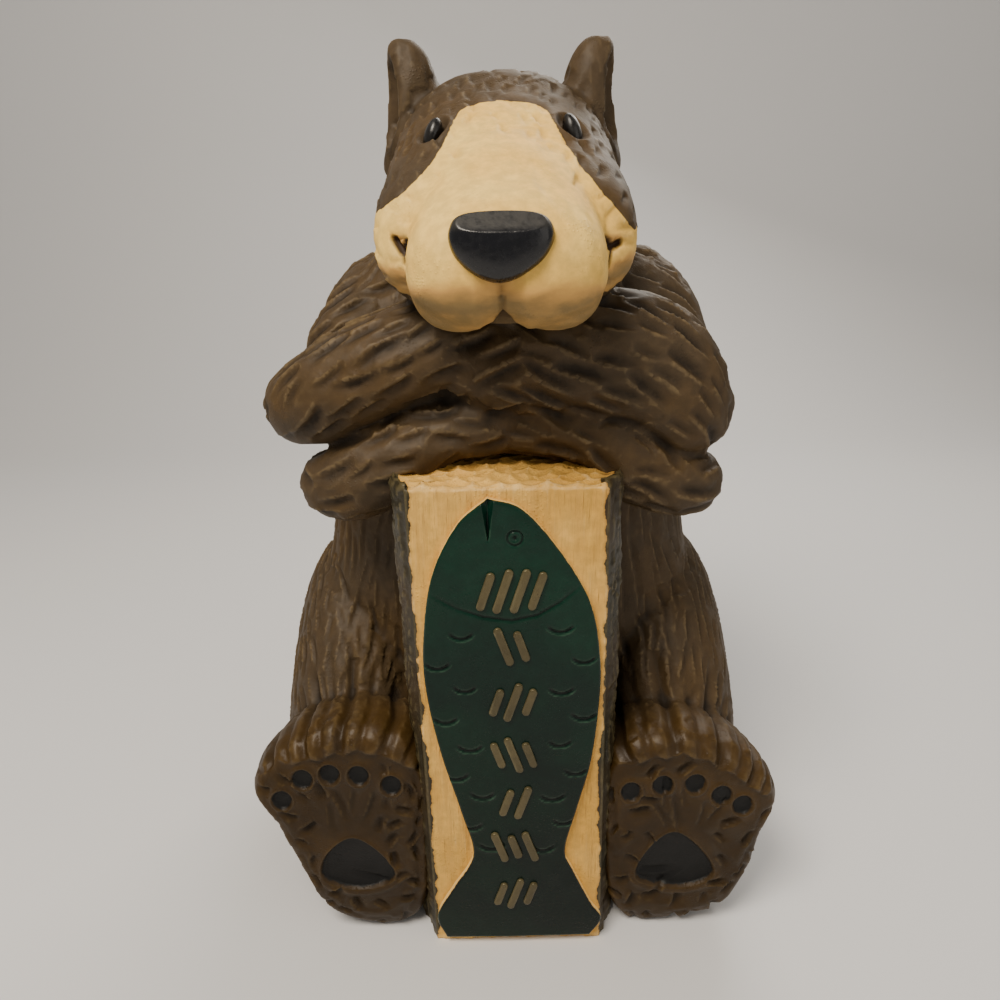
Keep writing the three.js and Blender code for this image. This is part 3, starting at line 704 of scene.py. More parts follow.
def cut_strokes(points, normals, strokes, near):
    """Depths that the strokes cut into the points, and heights of the lips beside them.

    A stroke's depth is depth * sin(pi s^0.75)^0.6 along its share s, times a wall that is
    steep on one side, 1 - t^2, and slow on the other, 1 - t.
    """
    cut = np.zeros(len(points))
    lip = np.zeros(len(points))
    for place, along, out, half_length, half_width, depth, bend in strokes:
        found = near(place, half_length + 1)
        offset = points[found] - place
        length = offset @ along / half_length
        width = offset @ np.cross(out, along) / half_width - bend * (length**2 - 0.3)
        close = (np.abs(length) < 1) & (np.abs(width) < STROKE_REACH)
        close &= (np.abs(offset @ out) < STROKE_DEEPEST) & (normals[found] @ out > STROKE_FACING)
        found, length, width = found[close], length[close], width[close]
        ends = np.sin(np.pi * ((length + 1) / 2)**0.75).clip(0)**0.6
        steep = 1 - ((STROKE_FLOOR - width) / STROKE_WALLS[0]).clip(0)**2
        slow = 1 - ((width - STROKE_FLOOR) / STROKE_WALLS[1]).clip(0)
        wall = np.minimum(steep, slow).clip(0)
        cut[found] = np.maximum(cut[found], depth * ends * wall)
        ridge = bump(width, *LIP_PLACE)
        lip[found] = np.maximum(lip[found], LIP_SHARE * depth * ends * ridge)
    return cut, lip


def path_distance(points, path):
    """Distance from each point to a polyline, and the share of the polyline there."""
    path = np.asarray(path, float)
    best = np.full(len(points), 1e9)
    share = np.zeros(len(points))
    for k in range(len(path) - 1):
        way = path[k + 1] - path[k]
        along = ((points - path[k]) @ way / (way @ way)).clip(0, 1)
        distance = np.linalg.norm(points - path[k] - along[:, None] * way, axis=1)
        nearer = distance < best
        best[nearer] = distance[nearer]
        share[nearer] = (k + along[nearer]) / (len(path) - 1)
    return best, share


def sole_recess(points, normals):
    """How far the sole is set back behind the toes: 0 above their ledge and round the rim."""
    front = rounded_step(-normals[:, 1], 0.45, 0.9) * (points[:, 1] < SOLE_REGION["back"])
    front = front * (np.abs(points[:, 0]) > SOLE_REGION["inside"])
    return front * rounded_step(hood_edge(points[:, 0]) - points[:, 2], -0.4, 1.6)


def toe_flutes(points):
    """Depth of the flutes down the toes, by the angle round the foot's middle.

    The angle is read as a toe number, whole on a toe's middle and a half between two toes.
    At an arc w from either line the flute is 1 - (w / half)^1.4 of its depth.
    """
    cut = np.zeros(len(points))
    for side, pads in TOE_PADS.items():
        hood = (points[:, 0] * side > HOOD["inside"]) & (points[:, 1] < HOOD["front"])
        foot = np.flatnonzero(hood & (points[:, 2] > HOOD["low"]) & (points[:, 2] < HOOD["top"]))
        middle = np.array(FOOT_MIDDLES[side], float)
        toes = np.array(pads, float) - middle
        turns = np.arctan2(toes[:, 1], side * toes[:, 0])
        turns = np.concatenate([[turns[0] - TOE_TURN], turns, [turns[-1] + TOE_TURN]])
        offset = points[foot][:, [0, 2]] - middle
        turn = np.arctan2(offset[:, 1], side * offset[:, 0])
        turn = turn + FLUTE_WANDER * np.sin(points[foot, 1] / 6 + side)
        number = np.interp(turn, turns, np.arange(-1, len(pads) + 1))
        arc = TOE_TURN * np.linalg.norm(offset, axis=1)
        shown = (number > -0.8) & (number < len(pads) - 0.2)
        shown = shown * rounded_step(HOOD["front"] - points[foot, 1], 0, 8)
        shown = shown * rounded_step(points[foot, 2] - hood_edge(points[foot, 0]), -2, 1)
        for shift, half, depth in FLUTES:
            away = np.abs(number + shift - np.round(number + shift)) * arc
            cut[foot] = np.maximum(cut[foot], depth * (1 - (away / half)**1.4).clip(0) * shown)
    return cut


def outline_distance(places, corners):
    """Signed distance of flat places to a smooth closed outline, above 0 inside it."""
    edge = closed_outline(corners, np.linspace(0, 1, 48, endpoint=False))
    ahead = np.roll(edge, -1, axis=0)
    offset = places[:, None] - edge[None]
    way = (ahead - edge)[None]
    along = ((offset * way).sum(-1) / (way**2).sum(-1)).clip(0, 1)
    distance = np.linalg.norm(offset - along[..., None] * way, axis=-1).min(1)
    crosses = (edge[None, :, 1] > places[:, None, 1]) != (ahead[None, :, 1] > places[:, None, 1])
    slope = (places[:, None, 1] - edge[None, :, 1]) / (ahead - edge)[None, :, 1]
    left = places[:, None, 0] < edge[None, :, 0] + slope * (ahead - edge)[None, :, 0]
    inside = (crosses & left).sum(1) % 2 == 1
    return np.where(inside, distance, -distance)


def pad_distance(points):
    """How far inside a pad of the sole each point lies, in millimetres; below 0 outside."""
    best = np.full(len(points), -PAD_REACH, float)
    low = (points[:, 1] < SOLE_REGION["front"]) & (points[:, 2] < SOLE_REGION["top"])
    for side in (-1, 1):
        sole = np.flatnonzero((points[:, 0] * side > SOLE_REGION["inside"]) & low)
        flat = points[sole][:, [0, 2]]
        inside = outline_distance(flat, BIG_PADS[side])
        for x, z in TOE_PADS[side]:
            reach = np.hypot((flat[:, 0] - x) / TOE_PAD_HALF[0], (flat[:, 1] - z) / TOE_PAD_HALF[1])
            inside = np.maximum(inside, (1 - reach) * TOE_PAD_HALF[0])
        best[sole] = inside.clip(-PAD_REACH, PAD_REACH)
    return best


MOUTH_CORNERS = [
    [(-40.8, 337.4), (-37.8, 332.6), (-36.2, 336.4)],
    [(-37.8, 332.6), (-37.2, 328.5)],
    [(35.8, 336.4), (38.6, 333.0), (41.8, 334.8)],
    [(38.6, 333.0), (37.5, 326.0)],
]
CORNER_HALF = 1.7
CORNER_DEPTH = 2.8
CORNER_SPAN = (-104, -80)
CORNER_HEIGHTS = (322, 340)
LIP_LINE = [(-2.6, 327), (-2.2, 319), (-1.8, 311), (-1.4, 304), (-1.4, 296)]
LIP_FRONT = -96
LIP_REACH = 12
CHIN = dict(front=-90, low=298, top=309)
LIP_VALLEY = (8.5, 3.4)
LIP_CREASE = (1.8, 1.5)
LIP_NOTCH = (-1.4, 302)
LIP_NOTCH_HALF = (5.0, 8.5)
LIP_NOTCH_DEPTH = 6.0
KNIFE_MARKS = [
    dict(count=18, low=(13, 336), high=(38, 374), way=(0.12, -0.4, -1), length=(14, 22),
         width=(3.8, 5.6), depth=(0.35, 0.6)),
    dict(count=8, low=(-36, 335), high=(-14, 365), way=(-0.12, -0.4, -1), length=(10, 16),
         width=(3.6, 5.0), depth=(0.15, 0.3)),
    dict(count=12, low=(-30, 306), high=(28, 321), way=(1, 0, 0.1), length=(12, 20), width=(7, 10),
         depth=(0.5, 0.8)),
]
FACET_COUNT = 4600
FACET_REACH = 9.0
FACET_DEPTH = 0.45
SNOUT = dict(front=-70, low=303)
CALM = dict(start=62, full=80, low=300, share=0.75)
LID_RING = (1.8, 0.2)
SOCKET_EDGE = 1.65
FINE_PAD = 2.4
FINE_EYE = 2.1
FUR_SEED = 27
SKIN_TRIANGLES = 192000


def knife_marks(points, normals, rng):
    """Broad shallow strokes of the knife on the snout, each set at random in its own field."""
    strokes = []
    snout = (points[:, 1] < SNOUT["front"]) & (points[:, 2] > SNOUT["low"]) & (normals[:, 1] < 0)
    for field in KNIFE_MARKS:
        low, high = np.array(field["low"]), np.array(field["high"])
        inside = ((points[:, [0, 2]] > low) & (points[:, [0, 2]] < high)).all(1) & snout
        for number in rng.choice(np.flatnonzero(inside), field["count"], replace=False):
            out = normals[number]
            along = unit(np.array(field["way"]) + rng.uniform(-0.15, 0.15, 3))
            along = unit(along - out * (along @ out))
            length, width, depth = (rng.uniform(*field[key]) for key in ("length", "width", "depth"))
            strokes.append((points[number], along, out, length / 2, width / 2, depth, 0.0))
    return strokes


def corner_cut(points):
    """Depth of the small ticks at the mouth's corners: 1 - t^2 across their lines."""
    cut = np.zeros(len(points))
    level = (points[:, 1] > CORNER_SPAN[0]) & (points[:, 1] < CORNER_SPAN[1])
    level &= (points[:, 2] > CORNER_HEIGHTS[0]) & (points[:, 2] < CORNER_HEIGHTS[1])
    found = np.flatnonzero(level)
    for path in MOUTH_CORNERS:
        distance, share = path_distance(points[found] * [1, 0, 1], [(x, 0, z) for x, z in path])
        thin = 1.0 if len(path) > 2 else 0.62 - 0.25 * share
        depth = CORNER_DEPTH * thin * (1 - (distance / (CORNER_HALF * thin))**2).clip(0)
        cut[found] = np.maximum(cut[found], depth)
    return cut


def lip_line(points):
    """Depth of the valley below the nose, 1 - t^2, the crease in it and the notch at its foot."""
    cut = np.zeros(len(points))
    notch = np.zeros(len(points))
    chin = (points[:, 2] > CHIN["low"]) & (points[:, 2] < CHIN["top"]) & (points[:, 1] < CHIN["front"])
    front = np.flatnonzero(((points[:, 1] < LIP_FRONT) | chin) & (np.abs(points[:, 0]) < LIP_REACH))
    flat = points[front] * [1, 0, 1]
    distance, share = path_distance(flat, [(x, 0, z) for x, z in LIP_LINE])
    starts = rounded_step(share, -0.25, 0.3)
    valley = LIP_VALLEY[1] * (1 - (distance / LIP_VALLEY[0])**2).clip(0) * starts
    crease = LIP_CREASE[1] * (1 - distance / LIP_CREASE[0]).clip(0) * rounded_step(share, -0.1, 0.1)
    offset = (flat[:, [0, 2]] - LIP_NOTCH) / LIP_NOTCH_HALF
    notch[front] = LIP_NOTCH_DEPTH * (1 - np.linalg.norm(offset, axis=1)).clip(0)
    cut[front] = valley + crease
    cut += notch
    # Half the crease goes into the paint's notch value, as painted shade in the lip crease.
    notch[front] += crease * 0.5
    return cut, notch


def knife_facets(points, normals, near, rng):
    """Pulls each point towards the flat through the nearest of many random seeds.

    The pull is the point's height over the seed's tangent plane, at most FACET_DEPTH.
    """
    best = np.full(len(points), FACET_REACH)
    height = np.zeros(len(points))
    for seed in rng.permutation(len(points))[:FACET_COUNT]:
        found = near(points[seed], FACET_REACH)
        offset = points[found] - points[seed]
        distance = np.linalg.norm(offset, axis=1)
        closer = (distance < best[found]) & (normals[found] @ normals[seed] > 0.3)
        found, offset, distance = found[closer], offset[closer], distance[closer]
        best[found] = distance
        height[found] = offset @ normals[seed]
    return -height.clip(-FACET_DEPTH, FACET_DEPTH)


def set_values(mesh, name, values):
    """Writes one number a point as a named attribute."""
    mesh.attributes.new(name, "FLOAT", "POINT").data.foreach_set("value", values.astype(np.float32))


def refine(made, wanted, cuts):
    """Splits every edge that touches a wanted point, cuts times."""
    grid = bmesh.new()
    grid.from_mesh(made.data)
    edges = [edge for edge in grid.edges if wanted[edge.verts[0].index] or wanted[edge.verts[1].index]]
    bmesh.ops.subdivide_edges(grid, edges=edges, cuts=cuts, use_grid_fill=True)
    grid.to_mesh(made.data)
    grid.free()


def refine_details(skin):
    """A finer mesh at the mouth's corners, the lip line, the lids and the pads' rims."""
    points = mesh_points(skin.data)
    small = (corner_cut(points) > 0) | (lip_line(points)[1] > 0)
    refine(skin, small, 2)
    points = mesh_points(skin.data)
    small = np.abs(pad_distance(points)) < FINE_PAD
    for side in (-1, 1):
        small |= eye_reach(points, side) < FINE_EYE
    refine(skin, small, 1)


def outer_skin(made):
    """The casting's outer skin alone, smoothed over the cells' steps."""
    mesh = made.data
    points, edges = mesh_points(mesh), mesh_edges(mesh)
    corners = np.empty(len(mesh.loops), np.int32)
    mesh.loops.foreach_get("vertex_index", corners)
    faces = corners.reshape(-1, 4)
    outer = outer_island(len(points), edges)
    number = np.cumsum(outer) - 1
    skin = object_from("bear_skin", points[outer], number[faces[outer[faces].all(1)]])
    bpy.data.objects.remove(made)
    set_points(skin.data, relaxed(mesh_points(skin.data), mesh_edges(skin.data), 0.5, 6))
    refine_details(skin)
    return skin


def carve_bear(skin):
    """Cuts the carving into the skin and keeps what the paint needs to know of it."""
    mesh = skin.data
    points, normals, edges = mesh_points(mesh), point_normals(mesh), mesh_edges(mesh)
    rng = np.random.default_rng(FUR_SEED)
    near = neighbourhood(points)
    pads = pad_distance(points)
    cut, lip = cut_strokes(points, normals, fur_strokes(points, normals, pads, rng), near)
    knife, _ = cut_strokes(points, normals, knife_marks(points, normals, rng), near)
    corners = corner_cut(points)
    line, notch = lip_line(points)
    flutes = toe_flutes(points)
    sole = sole_recess(points, normals)
    deep = np.maximum.reduce([cut, corners, flutes * (1 - sole)])
    snout = rounded_step(-points[:, 1], CALM["start"], CALM["full"]) * (points[:, 2] > CALM["low"])
    facets = knife_facets(points, normals, near, rng) * (1 - CALM["share"] * snout)
    move = facets - deep + lip * (deep < 0.1)
    move -= knife + line + SOLE_DEPTH * sole
    move -= PAD_DEPTH * rounded_step(pads, -0.5, 0.6)
    move += PAD_RIM * bump(pads, -1.1, 0.65)
    heel = rounded_step(HEEL_TOP - points[:, 2], 0, 10)
    move += HEEL_RIM * heel * bump(pads, -3.0, 1.8)
    for side in (-1, 1):
        reach = eye_reach(points, side)
        move += LID_LIFT * bump(reach, *LID_RING)
        move -= SOCKET_DEPTH * rounded_step(SOCKET_EDGE - reach, 0, 0.5)
    points = points + normals * move[:, None]
    points[:, 2] = points[:, 2].clip(0)
    set_points(mesh, points)
    normals = point_normals(mesh)
    set_values(mesh, "groove", np.maximum(cut * 0.8, flutes * 0.3))
    # The notch value marks the brown ticks at the mouth's corners, and painted shade in the lip crease
    # and the notch under the lobes.
    set_values(mesh, "notch", np.maximum(corners / 1.3, notch / 2.2).clip(0, 1))
    # Painted shade: dark round the eyes in their sockets, and over the recessed soles, less at the
    # rims of the pads.
    eye_socket_shade = sum(rounded_step(1.85 - eye_reach(points, side), 0, 0.6) for side in (-1, 1))
    rims = 1 - 0.8 * bump(pads, -2.2, 1.8)
    set_values(mesh, "shade", np.maximum(0.75 * sole * rims, eye_socket_shade))
    set_values(mesh, "ridge", ((points - relaxed(points, edges, 0.5, 3)) * normals).sum(1))
    # The fold value marks the creases between forms, where shade is painted.
    set_values(mesh, "fold_shade", ((relaxed(points, edges, 0.9, 40) - points) * normals).sum(1))
    thin = skin.modifiers.new("thin", "DECIMATE")
    thin.ratio = SKIN_TRIANGLES / (2 * len(mesh.polygons))
    thin.use_collapse_triangulate = True
    return evaluated(skin)


bear = carve_bear(outer_skin(bear))

# Bear, the paint
# Brown acrylic brushed over the whole casting and wiped so that it stays dark in the cuts,
# dry-brushed with tan on the ridges, glossier on the feet. Snout, cheeks and bridge are
# cream with a crisp edge, the pads of the soles are charcoal.
# Shade is painted into the colours too: in the creases between forms, over the recessed soles, in the
# ear cups and eye sockets, and under the snout.
CREAM_EDGE = {
    -1: [(346, 48), (348.5, 44), (352, 38), (357, 32), (363, 26.5), (369, 23), (375, 20.5),
         (380, 18.5), (383, 17), (385, 14), (386.3, 9), (387.3, 0)],
    1: [(338, 49), (340.5, 45.5), (344, 42), (347.7, 38.5), (354, 33), (361, 27.5), (368, 23.5),
        (375, 20.5), (380, 18.5), (383, 17), (385, 14), (386.3, 9), (387.3, 0)],
}
CREAM_BACK = [(298, -106), (312, -92), (322, -78), (335, -66), (346, -58), (360, -48), (375, -40)]
FOOT_REGION = dict(height=130, front=-56, inside=38)


def paint(red, green, blue):
    """A paint's colour for a shader, from its 0 to 255 sRGB values."""
    shares = [value / 255 for value in (red, green, blue)]
    return (*[s / 12.92 if s <= 0.04045 else ((s + 0.055) / 1.055)**2.4 for s in shares], 1)


def feed(tree, node, inputs):
    """Sets each named input of a node to a value, or links it to a socket."""
    for name, value in inputs.items():
        if isinstance(value, bpy.types.NodeSocket):
            tree.links.new(value, node.inputs[name])
        else:
            node.inputs[name].default_value = value


def add(tree, kind, inputs=None, **settings):
    """A shader node with its settings and its inputs."""
    made = tree.nodes.new("ShaderNode" + kind)
    for name, value in settings.items():
        setattr(made, name, value)
    feed(tree, made, inputs or {})
    return made


def mixed(tree, factor, first, second, blend="MIX"):
    """The colour between two by a factor."""
    made = add(tree, "Mix", {0: factor, 6: first, 7: second}, data_type="RGBA", blend_type=blend)
    made.clamp_factor = True
    return made.outputs[2]


def reckoned(tree, operation, first, second=0.0):
    """The result of one sum on one or two numbers."""
    return add(tree, "Math", {0: first, 1: second}, operation=operation).outputs[0]


def remapped(tree, value, start, end, low=0.0, high=1.0):
    """A number carried from start..end to low..high with soft ends."""
    inputs = {"Value": value, "From Min": start, "From Max": end, "To Min": low, "To Max": high}
    return add(tree, "MapRange", inputs, interpolation_type="SMOOTHSTEP").outputs["Result"]


def clouds(tree, place, scale, detail=3.0, roughness=0.5):
    """Soft noise from 0 to 1 at a place, with scale features a metre."""
    inputs = {"Vector": place, "Scale": scale, "Detail": detail, "Roughness": roughness}
    return add(tree, "TexNoise", inputs).outputs["Fac"]


def stretched(tree, place, scale):
    """A place with each axis multiplied by its share of scale."""
    return add(tree, "Mapping", {"Vector": place, "Scale": scale}).outputs["Vector"]


def value_of(tree, name):
    """The mesh's named number at each point."""
    return add(tree, "Attribute", attribute_name=name).outputs["Fac"]


def object_place(tree):
    """The place on the piece, in metres."""
    return add(tree, "TexCoord").outputs["Object"]


def new_group(name, sockets_in, sockets_out):
    """An empty node group with its sockets, and the nodes at its two ends."""
    group = bpy.data.node_groups.new(name, "ShaderNodeTree")
    for label, kind, value in sockets_in:
        socket = group.interface.new_socket(label, in_out="INPUT", socket_type="NodeSocket" + kind)
        if value is not None:
            socket.default_value = value
    for label, kind in sockets_out:
        group.interface.new_socket(label, in_out="OUTPUT", socket_type="NodeSocket" + kind)
    return group, group.nodes.new("NodeGroupInput").outputs, group.nodes.new("NodeGroupOutput").inputs


def placed(tree, group, inputs):
    """A node that uses a group, with its inputs set or linked."""
    return add(tree, "Group", inputs, node_tree=group).outputs


def brushed_paint_group():
    """Paint brushed on and wiped: clouded base, a dark wash in the cuts, painted shade in the folds
    between forms, light on ridges.
    """
    group, given, result = new_group("brushed_paint", [
        ("Place", "Vector", None), ("Base", "Color", None), ("Warm", "Color", None),
        ("Dark", "Color", None), ("Light", "Color", None), ("Groove", "Float", 0.0),
        ("Fold Shade", "Float", 0.0), ("Ridge", "Float", 0.0), ("Light Share", "Float", 0.5),
        ("Dark Share", "Float", 0.8)], [("Color", "Color"), ("Wash And Shade Mask", "Float")])
    broad = clouds(group, given["Place"], 26.0, 3.0)
    colour = mixed(group, remapped(group, broad, 0.38, 0.64), given["Base"], given["Warm"])
    streaks = clouds(group, given["Place"], 210.0, 4.0, 0.6)
    shade = remapped(group, streaks, 0.3, 0.75, 0.86, 1.12)
    colour = mixed(group, 1.0, colour, shade, "MULTIPLY")
    uneven = remapped(group, streaks, 0.25, 0.7, 0.55, 1.1)
    cut = remapped(group, reckoned(group, "MULTIPLY", given["Groove"], uneven), 0.15, 1.7)
    # Painted shade: the fold value darkens the creases between forms; the dark in the cuts is the
    # wiped wash.
    crease = remapped(group, given["Fold Shade"], 0.35, 2.6)
    wash_and_shade = reckoned(group, "MULTIPLY", reckoned(group, "MAXIMUM", cut, crease), given["Dark Share"])
    colour = mixed(group, wash_and_shade, colour, given["Dark"])
    specks = remapped(group, clouds(group, given["Place"], 300.0, 3.0), 0.3, 0.75, 0.3, 1.0)
    bare = reckoned(group, "MULTIPLY", remapped(group, given["Ridge"], 0.06, 0.42), specks)
    colour = mixed(group, reckoned(group, "MULTIPLY", bare, given["Light Share"]), colour,
                   given["Light"])
    group.links.new(colour, result["Color"])
    group.links.new(wash_and_shade, result["Wash And Shade Mask"])
    return group


def cast_skin_group():
    """The skin's finest relief: brush ripples of the paint, and small pits and blisters."""
    group, given, result = new_group("cast_skin", [
        ("Place", "Vector", None), ("Ripple", "Float", 0.5), ("Pits", "Float", 0.5)],
        [("Normal", "Vector")])
    ripple = clouds(group, given["Place"], 620.0, 3.0, 0.55)
    blister = add(group, "TexVoronoi", {"Vector": given["Place"], "Scale": 760.0}).outputs["Distance"]
    patch = remapped(group, clouds(group, given["Place"], 48.0, 2.0), 0.5, 0.68)
    blister = reckoned(group, "MULTIPLY", remapped(group, blister, 0.05, 0.42, 1.0, 0.0), patch)
    height = reckoned(group, "ADD", reckoned(group, "MULTIPLY", ripple, given["Ripple"]),
                      reckoned(group, "MULTIPLY", blister, given["Pits"]))
    bump = add(group, "Bump", {"Height": height, "Strength": 0.55, "Distance": 0.0006})
    group.links.new(bump.outputs["Normal"], result["Normal"])
    return group


brushed_paint = brushed_paint_group()
cast_skin = cast_skin_group()


def cast_normal(tree, place, ripple, pits):
    """The normal of the painted casting, with its share of ripples and of pits."""
    return placed(tree, cast_skin, {"Place": place, "Ripple": ripple, "Pits": pits})["Normal"]


def cream_distance(points):
    """How far inside the cream paint each point lies, in millimetres; below 0 it is brown.

    The edge comes down each side of the bridge as a curve x(z), then back over the cheek.
    """
    height = points[:, 2]
    beside = np.zeros(len(points))
    for side, corners in CREAM_EDGE.items():
        edge_z, edge_x = np.array(corners, float).T
        half = np.interp(height, edge_z, edge_x, left=80)
        there = np.minimum((half - np.abs(points[:, 0])) * 0.75, edge_z[-1] - height)
        beside = np.where(points[:, 0] * side > 0, there, beside)
    back_z, back_y = np.array(CREAM_BACK, float).T
    before = np.interp(height, back_z, back_y, left=-400) - points[:, 1]
    return np.minimum(beside, before).clip(-12, 12)


def foot_share(points):
    """1 on the feet, 0 elsewhere, with a soft edge."""
    low = rounded_step(FOOT_REGION["height"] - points[:, 2], 0, 6)
    front = rounded_step(FOOT_REGION["front"] - points[:, 1], 0, 36)
    outer = rounded_step(np.abs(points[:, 0]) - FOOT_REGION["inside"], 0, 3)
    return low * front * outer


def bear_paint():
    """The bear's one material: brown, cream and charcoal by the masks on its points."""
    made, tree, shader = node_material("bear_paint")
    place = object_place(tree)
    groove, fold_shade, ridge = (value_of(tree, name) for name in ("groove", "fold_shade", "ridge"))
    foot = value_of(tree, "foot")
    relief = {"Place": place, "Groove": groove, "Fold Shade": fold_shade, "Ridge": ridge}
    brown = placed(tree, brushed_paint, {
        **relief, "Base": paint(67, 54, 37), "Warm": paint(74, 57, 34), "Dark": paint(22, 16, 10),
        "Light": paint(138, 118, 84), "Light Share": 0.36, "Dark Share": 0.8})
    amber = placed(tree, brushed_paint, {
        **relief, "Base": paint(51, 36, 14), "Warm": paint(62, 44, 16), "Dark": paint(14, 9, 4),
        "Light": paint(128, 106, 68), "Light Share": 0.3, "Dark Share": 0.75})
    coat = mixed(tree, foot, brown["Color"], amber["Color"])
    cream = placed(tree, brushed_paint, {
        **relief, "Base": paint(235, 198, 110), "Warm": paint(228, 184, 92),
        "Dark": paint(110, 76, 38), "Light": paint(244, 222, 164), "Light Share": 0.3,
        "Dark Share": 0.8})
    wobble = reckoned(tree, "SUBTRACT", clouds(tree, place, 300.0, 2.0), 0.5)
    edge = reckoned(tree, "ADD", value_of(tree, "cream"), reckoned(tree, "MULTIPLY", wobble, 1.2))
    creamy = remapped(tree, edge, -0.18, 0.18)
    # Painted shade under the snout: where the skin looks down, the cream goes tan, then grey-brown, in
    # uneven patches.
    patchy_shade = remapped(tree, clouds(tree, stretched(tree, place, (0.5, 0.5, 1.0)), 90.0, 4.0, 0.6),
                     0.25, 0.7, 0.6, 1.0)
    underside_shade = reckoned(tree, "MULTIPLY", value_of(tree, "under"), patchy_shade)
    shaded_cream = mixed(tree, remapped(tree, underside_shade, 0.0, 0.5), cream["Color"], paint(204, 156, 86))
    shaded_cream = mixed(tree, remapped(tree, underside_shade, 0.3, 1.0, 0.0, 0.85), shaded_cream, paint(104, 92, 62))
    # Dark brown paint in the mouth-corner ticks, and painted shade in the lip crease and the notch
    # under the lobes.
    shaded_cream = mixed(tree, value_of(tree, "notch"), shaded_cream, paint(48, 31, 17))
    # Painted shade: darker paint over the recessed soles, in the eye sockets and in the ear cups.
    shade = reckoned(tree, "MAXIMUM", value_of(tree, "shade"), value_of(tree, "cup"))
    coat = mixed(tree, reckoned(tree, "MULTIPLY", shade, 0.62), coat, paint(33, 22, 4))
    colour = mixed(tree, creamy, coat, shaded_cream)
    charcoal = mixed(tree, clouds(tree, place, 160.0), paint(7, 7, 7), paint(17, 17, 17))
    pad = remapped(tree, reckoned(tree, "ADD", value_of(tree, "pad"),
                                  reckoned(tree, "MULTIPLY", wobble, 1.6)), -0.3, 0.3)
    colour = mixed(tree, pad, colour, charcoal)
    smooth = remapped(tree, foot, 0.0, 1.0, 0.56, 0.43)
    smooth = reckoned(tree, "ADD", smooth, reckoned(tree, "MULTIPLY", brown["Wash And Shade Mask"], 0.15))
    smooth = reckoned(tree, "ADD", smooth, reckoned(tree, "MULTIPLY", shade, 0.1))
    feed(tree, shader, {"Base Color": colour, "Roughness": smooth, "Specular IOR Level": 0.23,
                        "Normal": cast_normal(tree, place, 0.35, 0.5)})
    return made


def underside(mesh):
    """1 where the smoothed skin looks well down, 0 where it looks level or up: where shade is painted
    under the snout.
    """
    normals = relaxed(point_normals(mesh), mesh_edges(mesh), 0.7, 12)
    return rounded_step(-unit(normals)[:, 2], -0.05, 0.55)


def ear_shade(points):
    """1 in the cups of the ears, where shade is painted, 0 elsewhere."""
    inside = rounded_step(np.abs(points[:, 0]) - 0.1 * (points[:, 2] - 370), 45, 49)
    return inside * rounded_step(points[:, 2], 366, 372) * (points[:, 1] < -4)


skin_points = mesh_points(bear.data)
set_values(bear.data, "cream", cream_distance(skin_points))
set_values(bear.data, "pad", pad_distance(skin_points))
set_values(bear.data, "foot", foot_share(skin_points))
set_values(bear.data, "under", underside(bear.data))
# The cup value marks the ear cups for painted shade.
set_values(bear.data, "cup", ear_shade(skin_points))
bear.data.materials.clear()
bear.data.materials.append(bear_paint())
bear.data.shade_smooth()
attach(bear, "root")
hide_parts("bear")

# Eyes and nose
# Part of the casting, painted gloss black over the brown: two beads half sunk under lids,
# and the broad nose with a flat bevel along its top.
NOSE_OUTLINE = [[-13, 345.5], [9, 345.5], [15.3, 340], [13, 332], [4.5, 325.5], [-4, 323.6],
                [-12.5, 327], [-18, 333], [-19, 340.5]]
NOSE_MIDDLE = (-2, 337)
NOSE_STEPS = [[-108, 0.85], [-116, 0.96], [-122, 1], [-127, 0.97], [-130, 0.84], [-131.3, 0.6],
              [-131.8, 0.3], [-131.9, 0.02]]
NOSE_BEVEL_START = 339.5
NOSE_BEVEL_SLOPE = 1.0


def gloss_paint(name, colour, clouded, dullest, sheen_from=1.0):
    """Gloss paint: dark, a little clouded, faintly rippled, with a grey sheen painted above a height
    as the reflection on a top bevel.
    """
    made, tree, shader = node_material(name)
    place = object_place(tree)
    deep = mixed(tree, clouds(tree, place, 240.0), colour, clouded)
    height = add(tree, "SeparateXYZ", {"Vector": place}).outputs["Z"]
    bevel_sheen = remapped(tree, clouds(tree, place, 330.0, 4.0, 0.6), 0.3, 0.65, 0.45, 1.0)
    bevel_sheen = reckoned(tree, "MULTIPLY", bevel_sheen, remapped(tree, height, sheen_from,
                                                         sheen_from + 0.0025))
    shine = remapped(tree, clouds(tree, place, 420.0), 0.3, 0.75, dullest / 2, dullest)
    shine = reckoned(tree, "ADD", shine, reckoned(tree, "MULTIPLY", bevel_sheen, 0.3))
    feed(tree, shader, {"Base Color": mixed(tree, bevel_sheen, deep, paint(34, 32, 29)),
                        "Roughness": shine, "Normal": cast_normal(tree, place, 0.2, 0.15)})
    return made


def bead(side, rows=36, columns=48):
    """An eye: x = a sin s cos t, y = b sin s sin t, z = c cos s, leaning inward at the top."""
    polar = np.linspace(0, np.pi, rows)[1:-1, None]
    turn = np.linspace(0, 2 * np.pi, columns, endpoint=False)[None]
    wide, deep, high = EYE_HALVES
    z = high * np.cos(polar) + 0 * turn
    x = wide * np.sin(polar) * np.cos(turn) - side * EYE_LEAN * z
    rings = np.stack([x, deep * np.sin(polar) * np.sin(turn), z], -1)
    top = (-side * EYE_LEAN * high, 0, high)
    low = (side * EYE_LEAN * high, 0, -high)
    points, faces = closed_grid(rings, top, low)
    return points + np.array(EYE_PLACES[side]), faces


def nose():
    """The nose: its outline carried forward and closed, then cut back along the top."""
    points, faces = boss_mesh(NOSE_OUTLINE, NOSE_MIDDLE, NOSE_STEPS, 44, 120)
    above = (points[:, 2] - NOSE_BEVEL_START).clip(0)
    points[:, 1] = np.maximum(points[:, 1], -131.9 + NOSE_BEVEL_SLOPE * above)
    return points, faces


